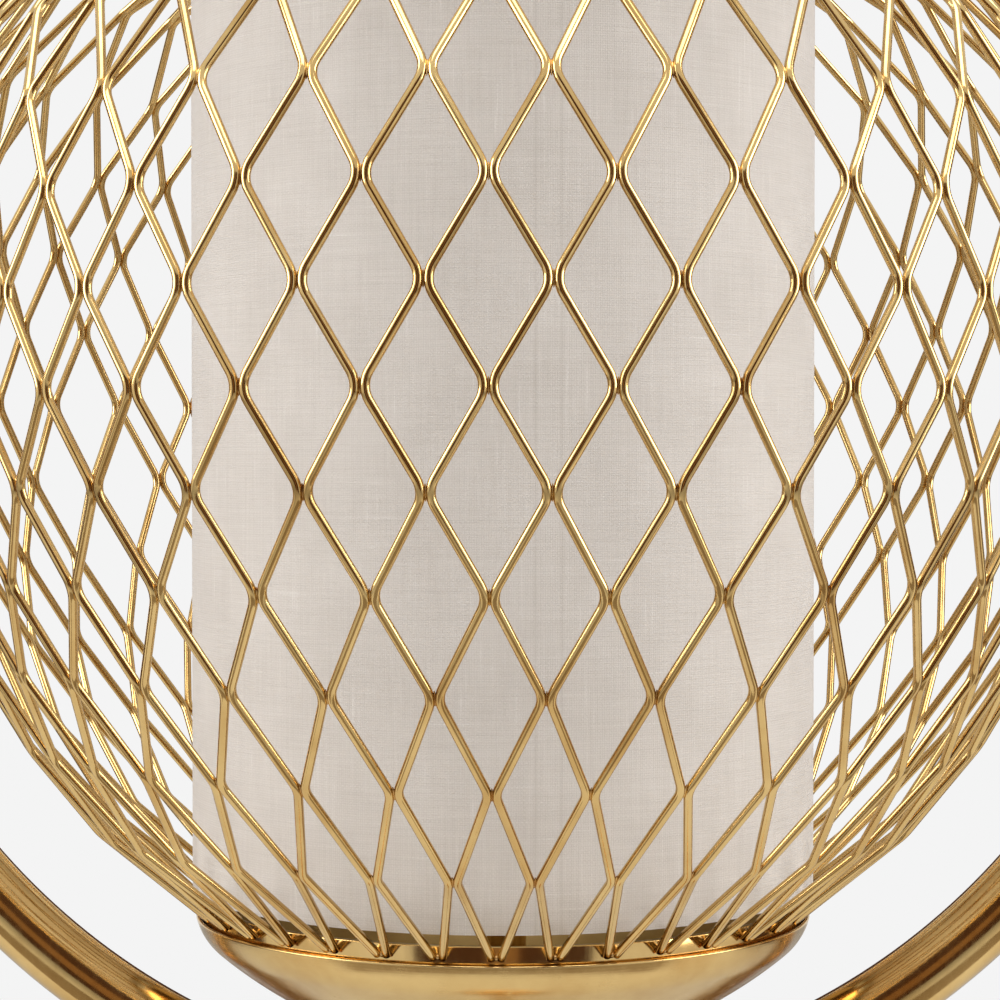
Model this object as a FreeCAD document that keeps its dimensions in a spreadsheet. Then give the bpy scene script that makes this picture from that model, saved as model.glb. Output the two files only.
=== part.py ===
import FreeCAD, Part
import math
import os
import re

import Sketcher

# Wire cage floor lamp. Millimetres, +Z up, origin under the middle of the base on the floor.
# The hoop stands in the XZ plane, and the lamp is looked at along +Y.

# ---------------------------------------------------------------- sizes

DRIVING = (
    ("base_radius", 150.0, "outside radius of the base cover"),
    ("base_wall", 1.2, "sheet of the spun base cover"),
    ("base_edge", 9.0, "rounding of the cover's upper edge"),
    ("cover_lift", 1.0, "height of the cover's lower edge over the floor"),
    ("pad_thickness", 2.0, "felted rubber pad under the base"),
    ("pad_inset", 5.0, "pad edge inside the weight's edge"),
    ("weight_height", 20.0, "thickness of the cast weight"),
    ("weight_gap", 0.5, "weight to cover, at the side"),
    ("weight_web", 5.0, "iron left over the recess"),
    ("recess_radius", 24.0, "recess for the foot nut"),
    ("channel_width", 7.0, "lead channel in the weight"),
    ("channel_height", 7.0, "lead channel in the weight"),
    ("inlet_height", 8.0, "middle of the cord inlet over the floor"),
    ("inlet_bore", 3.2, "radius of the bore in the rubber inlet"),
    ("inlet_body", 5.2, "radius of the inlet where it passes the cover"),
    ("inlet_flange", 6.8, "radius of the inlet's two flanges"),
    ("flange_thickness", 1.6, "thickness of each inlet flange"),
    ("inlet_gap", 0.3, "inlet to cover and to weight"),
    ("stud_radius", 8.0, "threaded studs in the pole"),
    ("stud_bore", 5.0, "lead passage in the studs"),
    ("stud_grip", 20.0, "length of a stud held in a tube end"),
    ("stud_end", 0.6, "stud showing past the foot nut"),
    ("thread_gap", 0.1, "radial clearance of a screwed or plugged fit"),
    ("foot_washer_radius", 19.0, "washer under the weight's web"),
    ("washer_thickness", 1.5, "flat washers"),
    ("foot_nut_radius", 13.8, "corner radius of the foot nut"),
    ("foot_nut_height", 6.0, "height of the foot nut"),
    ("collar_radius", 19.0, "foot collar, lower radius"),
    ("collar_shoulder", 13.6, "foot collar, upper radius"),
    ("collar_height", 15.0, "foot collar"),
    ("collar_floor", 3.0, "foot collar, under the pole"),
    ("pole_radius", 11.0, "outside radius of the pole"),
    ("pole_wall", 1.5, "wall of the pole tubes"),
    ("pole_joint", 640.0, "height of the joint between the pole tubes"),
    ("plug_length", 26.0, "thickened tube end that takes a stud"),
    ("joint_ring_radius", 12.4, "ring between the pole tubes"),
    ("joint_ring_height", 7.0, "ring between the pole tubes"),
    ("hoop_height", 1300.0, "middle of the hoop over the floor"),
    ("hoop_gap", 27.3, "clear distance between cage radius and hoop"),
    ("hoop_tube", 23.7, "outside diameter of the hoop's tube"),
    ("hoop_wall", 1.5, "wall of the hoop's tube"),
    ("saddle_radius", 14.5, "saddle under the hoop"),
    ("saddle_height", 24.0, "saddle below the hoop"),
    ("saddle_wrap", 6.0, "how far a seat reaches round the hoop's tube"),
    ("seat_gap", 0.12, "clearance of a curved seat"),
    ("spacer_radius", 8.0, "crush tube inside the hoop"),
    ("stem_radius", 5.0, "threaded stem through the head"),
    ("stem_bore", 3.5, "lead passage in the stem"),
    ("stem_grip", 12.0, "stem held in the saddle's spigot"),
    ("stem_top", 3.2, "stem standing into the holder cap"),
    ("stem_hole_gap", 0.3, "stem to the sheet it passes"),
    ("neck_height", 11.3, "hoop to dish"),
    ("neck_radius", 12.5, "neck at the hoop"),
    ("neck_flare", 17.0, "neck under the dish"),
    ("dish_arc", 150.0, "radius of the dish's bottom"),
    ("corner_arc", 20.0, "radius of the dish's turned-up side"),
    ("dish_depth", 47.2, "lip to bottom of the dish"),
    ("dish_wall", 1.3, "sheet of the spun dish"),
    ("lip_drop", 2.2, "lip below the feet of the wires"),
    ("lip_gap", 2.5, "foot band to the widest part of the dish"),
    ("cage_radius", 200.0, "wires' middle line at the cage's widest level"),
    ("widest_rise", 17.0, "widest level over the cage's middle level"),
    ("crown_reach", 165.0, "widest level to where the upper wires would close"),
    ("crown_fullness", 2.6, "roundness of the cage's upper part, 2 for an ellipse"),
    ("foot_radius", 102.7, "wires' middle line at the foot band"),
    ("wire_size", 2.8, "diameter of the cage wire"),
    ("bend_radius", 8.0, "bend of the wire's middle line"),
    ("touch_gap", 0.1, "between two wires where they are brazed"),
    ("braze_gap", 0.1, "between a wire's end and its band"),
    ("node_columns", 36, "joints round one level of the cage"),
    ("row_count_below", 6, "steps from the equator to the foot band"),
    ("row_count_above", 5, "whole steps above the equator"),
    ("lattice_angle", -1.17, "degrees the lattice is turned from the front"),
    ("band_wall", 2.2, "thickness of the two bands"),
    ("band_rise", 3.4, "band reaching inside the cage past the wire ends"),
    ("mouth_rise", 5.0, "mouth band standing out past the wire ends"),
    ("shade_radius", 105.5, "outside radius of the shade"),
    ("shade_clearance", 1.5, "shade to the mouth band it passes"),
    ("shade_air", 3.4, "shade's lower edge to the wires"),
    ("shade_drop", 10.0, "shade's upper edge below the wire ends"),
    ("linen_thickness", 0.6, "linen cover"),
    ("liner_thickness", 0.5, "stiff liner"),
    ("glue_gap", 0.1, "between linen, liner and hem rings"),
    ("hem_wire", 3.0, "wire of the two hem rings"),
    ("hem_turn", 0.6, "hem ring inside the shade's edge"),
    ("arm_width", 3.0, "arms of the spider"),
    ("arm_count", 3, "arms of the spider"),
    ("dish_nut_radius", 9.0, "corner radius of the dish nut"),
    ("dish_nut_height", 5.0, "height of the dish nut"),
    ("dish_washer_radius", 14.0, "washer in the dish"),
    ("riser_height", 65.0, "tube between dish nut and holder"),
    ("riser_radius", 8.0, "tube between dish nut and holder"),
    ("holder_radius", 19.5, "lampholder, outside"),
    ("holder_cap_height", 20.0, "metal cap of the lampholder"),
    ("holder_cap_wall", 1.2, "sheet of the holder cap"),
    ("wiring_room", 3.0, "space under the ceramic insert"),
    ("insert_height", 8.0, "ceramic insert"),
    ("shell_bore", 15.2, "bore of the holder shell"),
    ("shell_height", 25.0, "holder shell above its cap"),
    ("sleeve_wall", 1.4, "threaded sleeve of the holder"),
    ("sleeve_height", 28.0, "threaded sleeve of the holder"),
    ("contact_radius", 4.0, "centre contact of the holder"),
    ("contact_height", 4.6, "centre contact of the holder"),
    ("clamp_ring_radius", 26.0, "rings that hold the spider"),
    ("clamp_ring_height", 4.0, "rings that hold the spider"),
    ("clamp_level", 10.0, "lower clamp ring above the holder cap"),
    ("spider_thickness", 1.5, "plate of the spider"),
    ("bulb_gap", 0.3, "bulb to holder, at the side and below"),
    ("tip_radius", 4.8, "lower radius of the bulb's insulator"),
    ("tip_shoulder", 9.0, "upper radius of the bulb's insulator"),
    ("tip_height", 2.5, "insulator and contact of the bulb"),
    ("cap_height", 22.5, "screw cap of the bulb"),
    ("cap_wall", 0.7, "sheet of the screw cap"),
    ("bulb_length", 105.0, "bulb, tip to top"),
    ("bulb_radius", 30.0, "globe of the bulb"),
    ("bulb_shoulder", 27.5, "where the bulb's cone meets its globe"),
    ("glass_wall", 0.9, "wall of the bulb's glass"),
    ("neck_overlap", 5.0, "glass neck held in the screw cap"),
    ("post_radius", 4.5, "light post in the bulb"),
    ("post_height", 52.0, "light post in the bulb"),
    ("switch_inset", 58.0, "foot switch's axis from the base's edge"),
    ("button_radius", 10.9, "foot button"),
    ("button_rise", 8.0, "foot button above its bush"),
    ("button_dome", 3.0, "crown of the foot button"),
    ("button_travel", 4.0, "stroke of the foot button"),
    ("slide_gap", 0.3, "foot button in its bush"),
    ("catch_width", 1.4, "button's catch beyond its side"),
    ("catch_height", 2.2, "button's catch"),
    ("bush_flange", 17.0, "radius of the bush's rim"),
    ("rim_thickness", 2.0, "rim of the bush"),
    ("bush_wall", 1.2, "wall of the bush"),
    ("bush_length", 9.0, "bush below the cover's top"),
    ("bush_shoulder", 4.2, "catch shoulder below the cover's top"),
    ("bush_nut_height", 4.2, "nut of the foot switch"),
    ("bush_nut_radius", 19.5, "corner radius of the switch nut"),
    ("pocket_gap", 1.2, "weight to switch nut"),
    ("housing_wall", 1.6, "housing of the foot switch"),
    ("housing_lift", 0.3, "housing over the pad"),
    ("housing_grip", 3.0, "housing screwed on the bush"),
    ("switch_stem", 3.5, "button's stem, radius"),
    ("bridge_radius", 7.0, "contact bridge"),
    ("bridge_thickness", 1.2, "contact bridge"),
    ("bridge_rest", 1.0, "bridge to terminals with the button pressed"),
    ("terminal_height", 0.8, "terminals in the switch floor"),
    ("terminal_size", 3.0, "terminals in the switch floor"),
    ("terminal_place", 4.8, "terminals from the switch axis"),
    ("spring_wire", 1.0, "return spring"),
    ("spring_turns", 5, "return spring"),
    ("spring_gap", 1.2, "spring to contact bridge"),
    ("spring_seat", 0.1, "spring to what it bears on"),
    ("lead_size", 3.2, "twin lead inside the lamp"),
    ("lead_bend", 10.0, "bend of the lead under the pole"),
    ("lead_gap", 1.0, "lead over the pad"),
    ("lead_seat", 0.1, "lead's ends to what they are wired to"),
)

PLACES = (
    ("weight_top", "pad_thickness + weight_height"),
    ("cover_top", "weight_top + base_wall"),
    ("edge_start", "cover_top - base_edge"),
    ("weight_radius", "base_radius - base_wall - weight_gap"),
    ("switch_offset", "base_radius - switch_inset"),
    ("recess_top", "weight_top - weight_web"),
    ("stud_hole", "stud_radius + thread_gap"),
    ("foot_nut_top", "recess_top - washer_thickness"),
    ("stud_foot", "foot_nut_top - foot_nut_height - stud_end"),
    ("pole_foot", "cover_top + collar_floor"),
    ("ring_top", "pole_joint + joint_ring_height"),
    ("pole_bore", "pole_radius - pole_wall"),
    ("hoop_inner", "cage_radius + hoop_gap"),
    ("hoop_middle", "hoop_inner + hoop_tube / 2"),
    ("hoop_low", "hoop_height - hoop_middle - hoop_tube / 2"),
    ("hoop_seat", "hoop_height - hoop_inner"),
    ("pole_top", "hoop_low - saddle_height"),
    ("stem_hole", "stem_radius + thread_gap"),
    ("sheet_hole", "stem_radius + stem_hole_gap"),
    ("dish_bottom", "hoop_seat + neck_height"),
    ("lip_level", "dish_bottom + dish_depth"),
    ("foot_level", "lip_level + lip_drop"),
    ("foot_depth", "sqrt(cage_radius ^ 2 - foot_radius ^ 2)"),
    ("equator", "foot_level + foot_depth"),
    ("row_pitch", "foot_depth / row_count_below"),
    ("bowl_reach", "(foot_depth + widest_rise) / sqrt(1 - (foot_radius / cage_radius) ^ 2)"),
    ("wire_radius", "wire_size / 2"),
    ("first_climb", "foot_depth - row_pitch + widest_rise"),
    ("first_girth", "cage_radius * sqrt(1 - (first_climb / bowl_reach) ^ 2)"),
    ("foot_lean", "row_pitch / sqrt(row_pitch ^ 2 + (first_girth - foot_radius) ^ 2)"),
    ("foot_band", "foot_radius - wire_radius * foot_lean - braze_gap"),
    ("mouth_inside", "shade_radius + shade_clearance"),
    ("mouth_band", "mouth_inside + band_wall"),
    ("mouth_radius", "(mouth_band + braze_gap) / (1 - wire_radius / cage_radius)"),
    ("crown_share", "1 - (mouth_radius / cage_radius) ^ crown_fullness"),
    ("mouth_level", "equator + widest_rise + crown_reach * crown_share ^ (1 / crown_fullness)"),
    ("rim_radius", "foot_band + lip_gap + dish_wall"),
    ("corner_side", "rim_radius - corner_arc"),
    ("corner_fall", "sqrt((dish_arc - corner_arc) ^ 2 - corner_side ^ 2)"),
    ("arc_level", "dish_bottom + dish_arc"),
    ("corner_level", "arc_level - corner_fall"),
    ("dish_floor", "dish_bottom + dish_wall"),
    ("inner_arc", "dish_arc - dish_wall"),
    ("inner_corner", "corner_arc - dish_wall"),
    ("blend_share", "dish_arc / (dish_arc - corner_arc)"),
    ("inner_share", "inner_arc / (dish_arc - corner_arc)"),
    ("lip_reach", "corner_side + sqrt(corner_arc ^ 2 - (corner_level - lip_level) ^ 2)"),
    ("lip_inside", "corner_side + sqrt(inner_corner ^ 2 - (corner_level - lip_level) ^ 2)"),
    ("band_seat", "corner_level - sqrt(inner_corner ^ 2 - (foot_band - corner_side) ^ 2) + seat_gap"),
    ("shade_inside", "shade_radius - linen_thickness"),
    ("liner_radius", "shade_inside - glue_gap"),
    ("liner_inside", "liner_radius - liner_thickness"),
    ("shade_reach", "cage_radius - wire_radius - shade_air"),
    ("shade_bottom", "equator - sqrt(shade_reach ^ 2 - shade_radius ^ 2)"),
    ("shade_top", "mouth_level - shade_drop"),
    ("hem_radius", "liner_inside - glue_gap - hem_wire / 2"),
    ("hem_low", "shade_bottom + hem_turn + hem_wire / 2"),
    ("hem_high", "shade_top - hem_turn - hem_wire / 2"),
    ("washer_seat", "dish_floor + dish_washer_radius ^ 2 / (2 * inner_arc) + seat_gap"),
    ("dish_nut_seat", "washer_seat + washer_thickness"),
    ("riser_foot", "dish_nut_seat + dish_nut_height"),
    ("holder_foot", "riser_foot + riser_height"),
    ("cap_floor", "holder_foot + holder_cap_wall"),
    ("cap_rim", "holder_foot + holder_cap_height"),
    ("cap_inside", "holder_radius - holder_cap_wall"),
    ("insert_foot", "cap_floor + wiring_room + stem_top - holder_cap_wall"),
    ("insert_top", "insert_foot + insert_height"),
    ("spigot_radius", "cap_inside - thread_gap"),
    ("shell_top", "cap_rim + shell_height"),
    ("sleeve_radius", "shell_bore - thread_gap"),
    ("sleeve_bore", "sleeve_radius - sleeve_wall"),
    ("clamp_foot", "cap_rim + clamp_level"),
    ("clamp_bore", "holder_radius + thread_gap"),
    ("spider_foot", "clamp_foot + clamp_ring_height"),
    ("spider_top", "spider_foot + spider_thickness"),
    ("bulb_foot", "insert_top + contact_height + bulb_gap"),
    ("screw_foot", "bulb_foot + tip_height"),
    ("screw_radius", "sleeve_bore - bulb_gap"),
    ("screw_bore", "screw_radius - cap_wall"),
    ("screw_top", "screw_foot + cap_height"),
    ("glass_neck", "screw_bore - thread_gap"),
    ("glass_foot", "screw_top - neck_overlap"),
    ("bulb_top", "bulb_foot + bulb_length"),
    ("globe_level", "bulb_top - bulb_radius"),
    ("shoulder_level", "globe_level - sqrt(bulb_radius ^ 2 - bulb_shoulder ^ 2)"),
    ("globe_inside", "bulb_radius - glass_wall"),
    ("inner_shoulder", "globe_inside * bulb_shoulder / bulb_radius"),
    ("inner_level", "globe_level - sqrt(globe_inside ^ 2 - inner_shoulder ^ 2)"),
    ("button_bore", "button_radius + slide_gap"),
    ("catch_radius", "button_radius + catch_width"),
    ("catch_bore", "catch_radius + slide_gap"),
    ("barrel_radius", "catch_bore + bush_wall"),
    ("barrel_foot", "cover_top - bush_length"),
    ("shoulder_foot", "cover_top - bush_shoulder"),
    ("bush_top", "cover_top + rim_thickness"),
    ("catch_top", "shoulder_foot - slide_gap"),
    ("catch_foot", "catch_top - catch_height"),
    ("button_top", "bush_top + button_rise"),
    ("switch_bore", "barrel_radius + thread_gap"),
    ("housing_radius", "switch_bore + housing_wall"),
    ("housing_foot", "pad_thickness + housing_lift"),
    ("switch_floor", "housing_foot + housing_wall"),
    ("terminal_top", "switch_floor + terminal_height"),
    ("bridge_foot", "terminal_top + bridge_rest + button_travel"),
    ("bridge_top", "bridge_foot + bridge_thickness"),
    ("spring_radius", "bridge_radius + spring_gap + spring_wire / 2"),
    ("pocket_radius", "bush_nut_radius + pocket_gap"),
    ("lead_level", "pad_thickness + lead_gap + lead_size / 2"),
)

doc = FreeCAD.newDocument("CageFloorLamp")
sizes = doc.addObject("Spreadsheet::Sheet", "Sizes")
places = doc.addObject("Spreadsheet::Sheet", "Places")
owner = {}
nodes = {}


def named(expression):
    """Put the name of its sheet before every alias in an expression."""
    return re.sub(r"[a-z_]+", lambda word: owner.get(word.group(), "") + word.group(), expression)


def size(expression):
    """Return the value of an expression of aliases."""
    return float(sizes.evalExpression(named(expression)))


for row, (alias, amount, note) in enumerate(DRIVING, start=1):
    sizes.set(f"A{row}", note)
    sizes.set(f"B{row}", str(amount))
    sizes.setAlias(f"B{row}", alias)
    owner[alias] = "Sizes."
for row, (alias, formula) in enumerate(PLACES, start=1):
    places.set(f"A{row}", alias.replace("_", " "))
    places.set(f"B{row}", "=" + named(formula).replace("Places.", ""))
    places.setAlias(f"B{row}", alias)
    owner[alias] = "Places."
doc.recompute()


# ---------------------------------------------------------------- ways of making

def bind(thing, **expressions):
    """Bind properties of an object to expressions of aliases."""
    for name, expression in expressions.items():
        thing.setExpression(name.replace("__", "."), named(expression))


def put(thing, x="0", y="0", z="0"):
    """Bind the place of an object."""
    bind(thing, Placement__Base__x=x, Placement__Base__y=y, Placement__Base__z=z)
    return thing


def node(thing, label):
    """Name an object as a sub-part of the lamp."""
    thing.Label = label
    nodes[label] = thing
    return thing


def origin_plane(body, role):
    """Find one of a body's own origin planes."""
    return next(feature for feature in body.Origin.OriginFeatures if feature.Role == role)


def arc_between(start, end, radius, side):
    """Return an arc that bulges to the left (1) or right (-1) of its chord."""
    chord = end - start
    depth = math.sqrt(radius ** 2 - (chord.Length / 2) ** 2)
    inward = FreeCAD.Vector(chord.y, -chord.x, 0).normalize() * side
    centre = (start + end) * 0.5 + inward * depth
    first, last = (start, end) if side < 0 else (end, start)
    angles = [math.atan2(spot.y - centre.y, spot.x - centre.x) for spot in (first, last)]
    return Part.ArcOfCircle(Part.Circle(centre, FreeCAD.Vector(0, 0, 1), radius), *angles)


def draw(sketch, corners):
    """Draw a closed outline; a corner is (x, y), or (x, y, radius, side) where an arc leaves it."""
    spots = [FreeCAD.Vector(size(corner[0]), size(corner[1]), 0) for corner in corners]
    edges = []
    for index, corner in enumerate(corners):
        start = spots[index]
        end = spots[(index + 1) % len(spots)]
        if len(corner) == 2:
            edges.append(sketch.addGeometry(Part.LineSegment(start, end)))
        else:
            arc = arc_between(start, end, size(corner[2]), corner[3])
            edges.append(sketch.addGeometry(arc))
    ends = []
    for index, edge in enumerate(edges):
        geometry = sketch.Geometry[edge]
        forward = (geometry.StartPoint - spots[index]).Length < (geometry.EndPoint - spots[index]).Length
        ends.append((1, 2) if forward else (2, 1))
    for index, edge in enumerate(edges):
        after = (index + 1) % len(edges)
        sketch.addConstraint(Sketcher.Constraint(
            "Coincident", edge, ends[index][1], edges[after], ends[after][0]))
    for index, corner in enumerate(corners):
        for kind, expression, value in (("DistanceX", corner[0], spots[index].x),
                                        ("DistanceY", corner[1], spots[index].y)):
            rule = sketch.addConstraint(Sketcher.Constraint(
                kind, -1, 1, edges[index], ends[index][0], value))
            sketch.setExpression(f"Constraints[{rule}]", named(expression))
        if len(corner) == 4:
            rule = sketch.addConstraint(Sketcher.Constraint("Radius", edges[index], size(corner[2])))
            sketch.setExpression(f"Constraints[{rule}]", named(corner[2]))


def sketch_on(body, role, name, corners):
    """Add a sketch of one closed outline on an origin plane of a body."""
    sketch = body.newObject("Sketcher::SketchObject", name)
    sketch.AttachmentSupport = [(origin_plane(body, role), "")]
    sketch.MapMode = "FlatFace"
    draw(sketch, corners)
    return sketch


def turned(name, corners):
    """Turn an outline of (radius, height) corners about the upright axis."""
    body = doc.addObject("PartDesign::Body", name)
    sketch = sketch_on(body, "XZ_Plane", name + "_outline", corners)
    turning = body.newObject("PartDesign::Revolution", name + "_turning")
    turning.Profile = sketch
    turning.ReferenceAxis = (sketch, ["V_Axis"])
    turning.Angle = 360.0
    return body


def ring(name, inside, outside, foot, top):
    """Turn a plain ring or tube."""
    return turned(name, [(inside, foot), (outside, foot), (outside, top), (inside, top)])


def rod(name, radius, height, x="0", y="0", z="0"):
    """Make an upright round rod, most often to bore with."""
    thing = doc.addObject("Part::Cylinder", name)
    bind(thing, Radius=radius, Height=height)
    return put(thing, x, y, z)


def block(name, length, width, height, x, y, z):
    """Make a block with its lowest corner at x, y, z."""
    thing = doc.addObject("Part::Box", name)
    bind(thing, Length=length, Width=width, Height=height)
    return put(thing, x, y, z)


def lying_torus(name, middle, tube, z):
    """Make a lying torus."""
    thing = doc.addObject("Part::Torus", name)
    bind(thing, Radius1=middle, Radius2=tube)
    return put(thing, z=z)


def hoop_torus(name, tube):
    """Make a torus on the hoop's own circle, standing in the XZ plane."""
    thing = doc.addObject("Part::Torus", name)
    thing.Placement.Rotation = FreeCAD.Rotation(FreeCAD.Vector(1, 0, 0), 90)
    bind(thing, Radius1="hoop_middle", Radius2=tube)
    return put(thing, z="hoop_height")


def cut(name, base, *tools):
    """Cut one or more shapes from a base."""
    tool = tools[0]
    if len(tools) > 1:
        tool = doc.addObject("Part::MultiFuse", name + "_tools")
        tool.Shapes = list(tools)
    thing = doc.addObject("Part::Cut", name)
    thing.Base = base
    thing.Tool = tool
    return thing


def hexagon_nut(name, corner, height, bore, z, y="0"):
    """Make a hexagon nut with a plain bore."""
    blank = doc.addObject("Part::Prism", name + "_blank")
    blank.Polygon = 6
    bind(blank, Circumradius=corner, Height=height)
    put(blank, y=y, z=z)
    return cut(name, blank, rod(name + "_bore", bore, height, y=y, z=z))


def swept(path_edges, radius):
    """Sweep a round section along a path of lines and arcs."""
    path = Part.Wire(path_edges)
    first = path.OrderedEdges[0]
    start = first.valueAt(first.FirstParameter)
    section = Part.Wire(Part.makeCircle(radius, start, first.tangentAt(first.FirstParameter)))
    return path.makePipeShell([section], True, False)


def rounded_path(corners, radius):
    """Join corners by straight runs, with a tangent arc at every inner corner."""
    edges = []
    start = corners[0]
    for before, corner, after in zip(corners, corners[1:], corners[2:]):
        back = (before - corner).normalize()
        ahead = (after - corner).normalize()
        half = (math.pi - back.getAngle(ahead)) / 2
        inward = (back + ahead).normalize()
        arc_in = corner + back * radius * math.tan(half)
        arc_out = corner + ahead * radius * math.tan(half)
        middle = corner + inward * radius * (1 / math.cos(half) - 1)
        edges.append(Part.LineSegment(start, arc_in).toShape())
        edges.append(Part.Arc(arc_in, middle, arc_out).toShape())
        start = arc_out
    edges.append(Part.LineSegment(start, corners[-1]).toShape())
    return edges


# ---------------------------------------------------------------- base

def make_base():
    """Make the cover, weight, pad, inlet and what clamps them to the pole."""
    cover = turned("base_cover_blank", [
        ("stud_hole", "cover_top - base_wall"),
        ("base_radius - base_edge", "cover_top - base_wall", "base_edge - base_wall", 1),
        ("base_radius - base_wall", "edge_start"),
        ("base_radius - base_wall", "cover_lift"),
        ("base_radius", "cover_lift"),
        ("base_radius", "edge_start", "base_edge", -1),
        ("base_radius - base_edge", "cover_top"),
        ("stud_hole", "cover_top")])
    inlet_hole = rod("inlet_hole", "inlet_body + inlet_gap", "4 * base_edge",
                     y="base_radius - 2 * base_edge", z="inlet_height")
    inlet_hole.Placement.Rotation = FreeCAD.Rotation(FreeCAD.Vector(1, 0, 0), -90)
    button_hole = rod("button_hole", "barrel_radius + slide_gap", "base_wall * 3",
                      y="-switch_offset", z="weight_top - base_wall")
    node(cut("base_cover", cover, inlet_hole, button_hole), "base_cover")

    weight = turned("base_weight_blank", [
        ("stud_hole", "pad_thickness"),
        ("weight_radius", "pad_thickness"),
        ("weight_radius", "edge_start"),
        ("base_radius - base_edge", "weight_top"),
        ("stud_hole", "weight_top")])
    recess = rod("recess", "recess_radius", "recess_top - pad_thickness", z="pad_thickness")
    pocket = rod("switch_pocket", "pocket_radius", "weight_height", y="-switch_offset", z="pad_thickness")
    channel = block("lead_channel", "channel_width", "base_radius + switch_offset", "channel_height",
                    "-channel_width / 2", "-switch_offset", "pad_thickness")
    room = block("inlet_room", "2 * (inlet_flange + inlet_gap)", "base_edge * 2",
                 "inlet_height + inlet_flange + inlet_gap - pad_thickness",
                 "-inlet_flange - inlet_gap", "base_radius - base_edge * 2", "pad_thickness")
    node(cut("base_weight", weight, recess, pocket, channel, room), "base_weight")

    pad = turned("base_pad", [
        ("0", "0"), ("weight_radius - pad_inset", "0"),
        ("weight_radius - pad_inset", "pad_thickness"), ("0", "pad_thickness")])
    node(pad, "base_pad")

    # the inlet is turned about its own bore and then laid along Y, flanges each side of the cover
    inlet = turned("cord_inlet", [
        ("inlet_bore", "0"), ("inlet_flange", "0"), ("inlet_flange", "flange_thickness"),
        ("inlet_body", "flange_thickness"),
        ("inlet_body", "flange_thickness + base_wall + inlet_gap * 2"),
        ("inlet_flange", "flange_thickness + base_wall + inlet_gap * 2"),
        ("inlet_flange", "2 * flange_thickness + base_wall + inlet_gap * 2"),
        ("inlet_bore", "2 * flange_thickness + base_wall + inlet_gap * 2")])
    inlet.Placement.Rotation = FreeCAD.Rotation(FreeCAD.Vector(1, 0, 0), -90)
    put(inlet, y="base_radius - base_wall - inlet_gap - flange_thickness", z="inlet_height")
    node(inlet, "cord_inlet")

    node(ring("foot_stud", "stud_bore", "stud_radius", "stud_foot", "pole_foot + stud_grip"), "foot_stud")
    node(ring("foot_washer", "stud_hole", "foot_washer_radius", "foot_nut_top", "recess_top"),
         "foot_washer")
    node(hexagon_nut("foot_nut", "foot_nut_radius", "foot_nut_height", "stud_hole",
                     "foot_nut_top - foot_nut_height"), "foot_nut")
    collar = turned("foot_collar", [
        ("stud_hole", "cover_top"),
        ("collar_radius", "cover_top"),
        ("collar_radius", "cover_top + collar_floor"),
        ("collar_shoulder", "cover_top + collar_height - collar_floor"),
        ("collar_shoulder", "cover_top + collar_height"),
        ("pole_radius + thread_gap", "cover_top + collar_height"),
        ("pole_radius + thread_gap", "pole_foot"),
        ("stud_hole", "pole_foot")])
    node(collar, "foot_collar")


def make_switch():
    """Make the foot switch that stands in the base, in front of the pole."""
    here = "-switch_offset"
    bush = turned("switch_bush", [
        ("button_bore", "shoulder_foot"),
        ("catch_bore", "shoulder_foot"),
        ("catch_bore", "barrel_foot"),
        ("barrel_radius", "barrel_foot"),
        ("barrel_radius", "cover_top"),
        ("bush_flange", "cover_top"),
        ("bush_flange", "bush_top - rim_thickness / 2"),
        ("bush_flange - rim_thickness / 2", "bush_top"),
        ("button_bore", "bush_top")])
    node(put(bush, y=here), "switch_bush")
    node(hexagon_nut("switch_nut", "bush_nut_radius", "bush_nut_height", "switch_bore",
                     "weight_top - bush_nut_height", y=here), "switch_nut")
    housing = turned("switch_housing", [
        ("0", "housing_foot"),
        ("housing_radius", "housing_foot"),
        ("housing_radius", "barrel_foot + housing_grip"),
        ("switch_bore", "barrel_foot + housing_grip"),
        ("switch_bore", "switch_floor"),
        ("0", "switch_floor")])
    node(put(housing, y=here), "switch_housing")
    button = turned("foot_button", [
        ("0", "bridge_top"),
        ("switch_stem", "bridge_top"),
        ("switch_stem", "catch_foot"),
        ("catch_radius", "catch_foot"),
        ("catch_radius", "catch_top"),
        ("button_radius", "catch_top"),
        ("button_radius", "button_top - button_dome",
         "(button_radius ^ 2 + button_dome ^ 2) / (2 * button_dome)", -1),
        ("0", "button_top")])
    node(put(button, y=here), "foot_button")
    bridge = turned("switch_bridge", [
        ("0", "bridge_foot"), ("bridge_radius", "bridge_foot"),
        ("bridge_radius", "bridge_top"), ("0", "bridge_top")])
    node(put(bridge, y=here), "switch_bridge")
    pads = [block(f"terminal_{name}", "terminal_size", "terminal_size", "terminal_height",
                  f"{sign}terminal_place - terminal_size / 2", "-switch_offset - terminal_size / 2",
                  "switch_floor") for name, sign in (("left", "-"), ("right", ""))]
    terminals = doc.addObject("Part::Compound", "switch_terminals")
    terminals.Links = pads
    node(terminals, "switch_terminals")

    # the spring climbs by quarter turns, each one arc through three points of its helix
    radius = size("spring_radius")
    foot = size("switch_floor + spring_wire / 2 + spring_seat")
    climb = size("catch_foot - spring_wire / 2 - spring_seat") - foot
    quarters = int(size("spring_turns")) * 4

    def on_helix(share):
        angle = share * quarters * math.pi / 2
        return FreeCAD.Vector(radius * math.cos(angle), radius * math.sin(angle), foot + share * climb)

    arcs = [Part.Arc(on_helix(step / quarters), on_helix((step + 0.5) / quarters),
                     on_helix((step + 1) / quarters)).toShape() for step in range(quarters)]
    spring = doc.addObject("Part::Feature", "switch_spring")
    spring.Shape = swept(arcs, size("spring_wire / 2"))
    node(put(spring, y=here), "switch_spring")


# ---------------------------------------------------------------- pole and hoop

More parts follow.
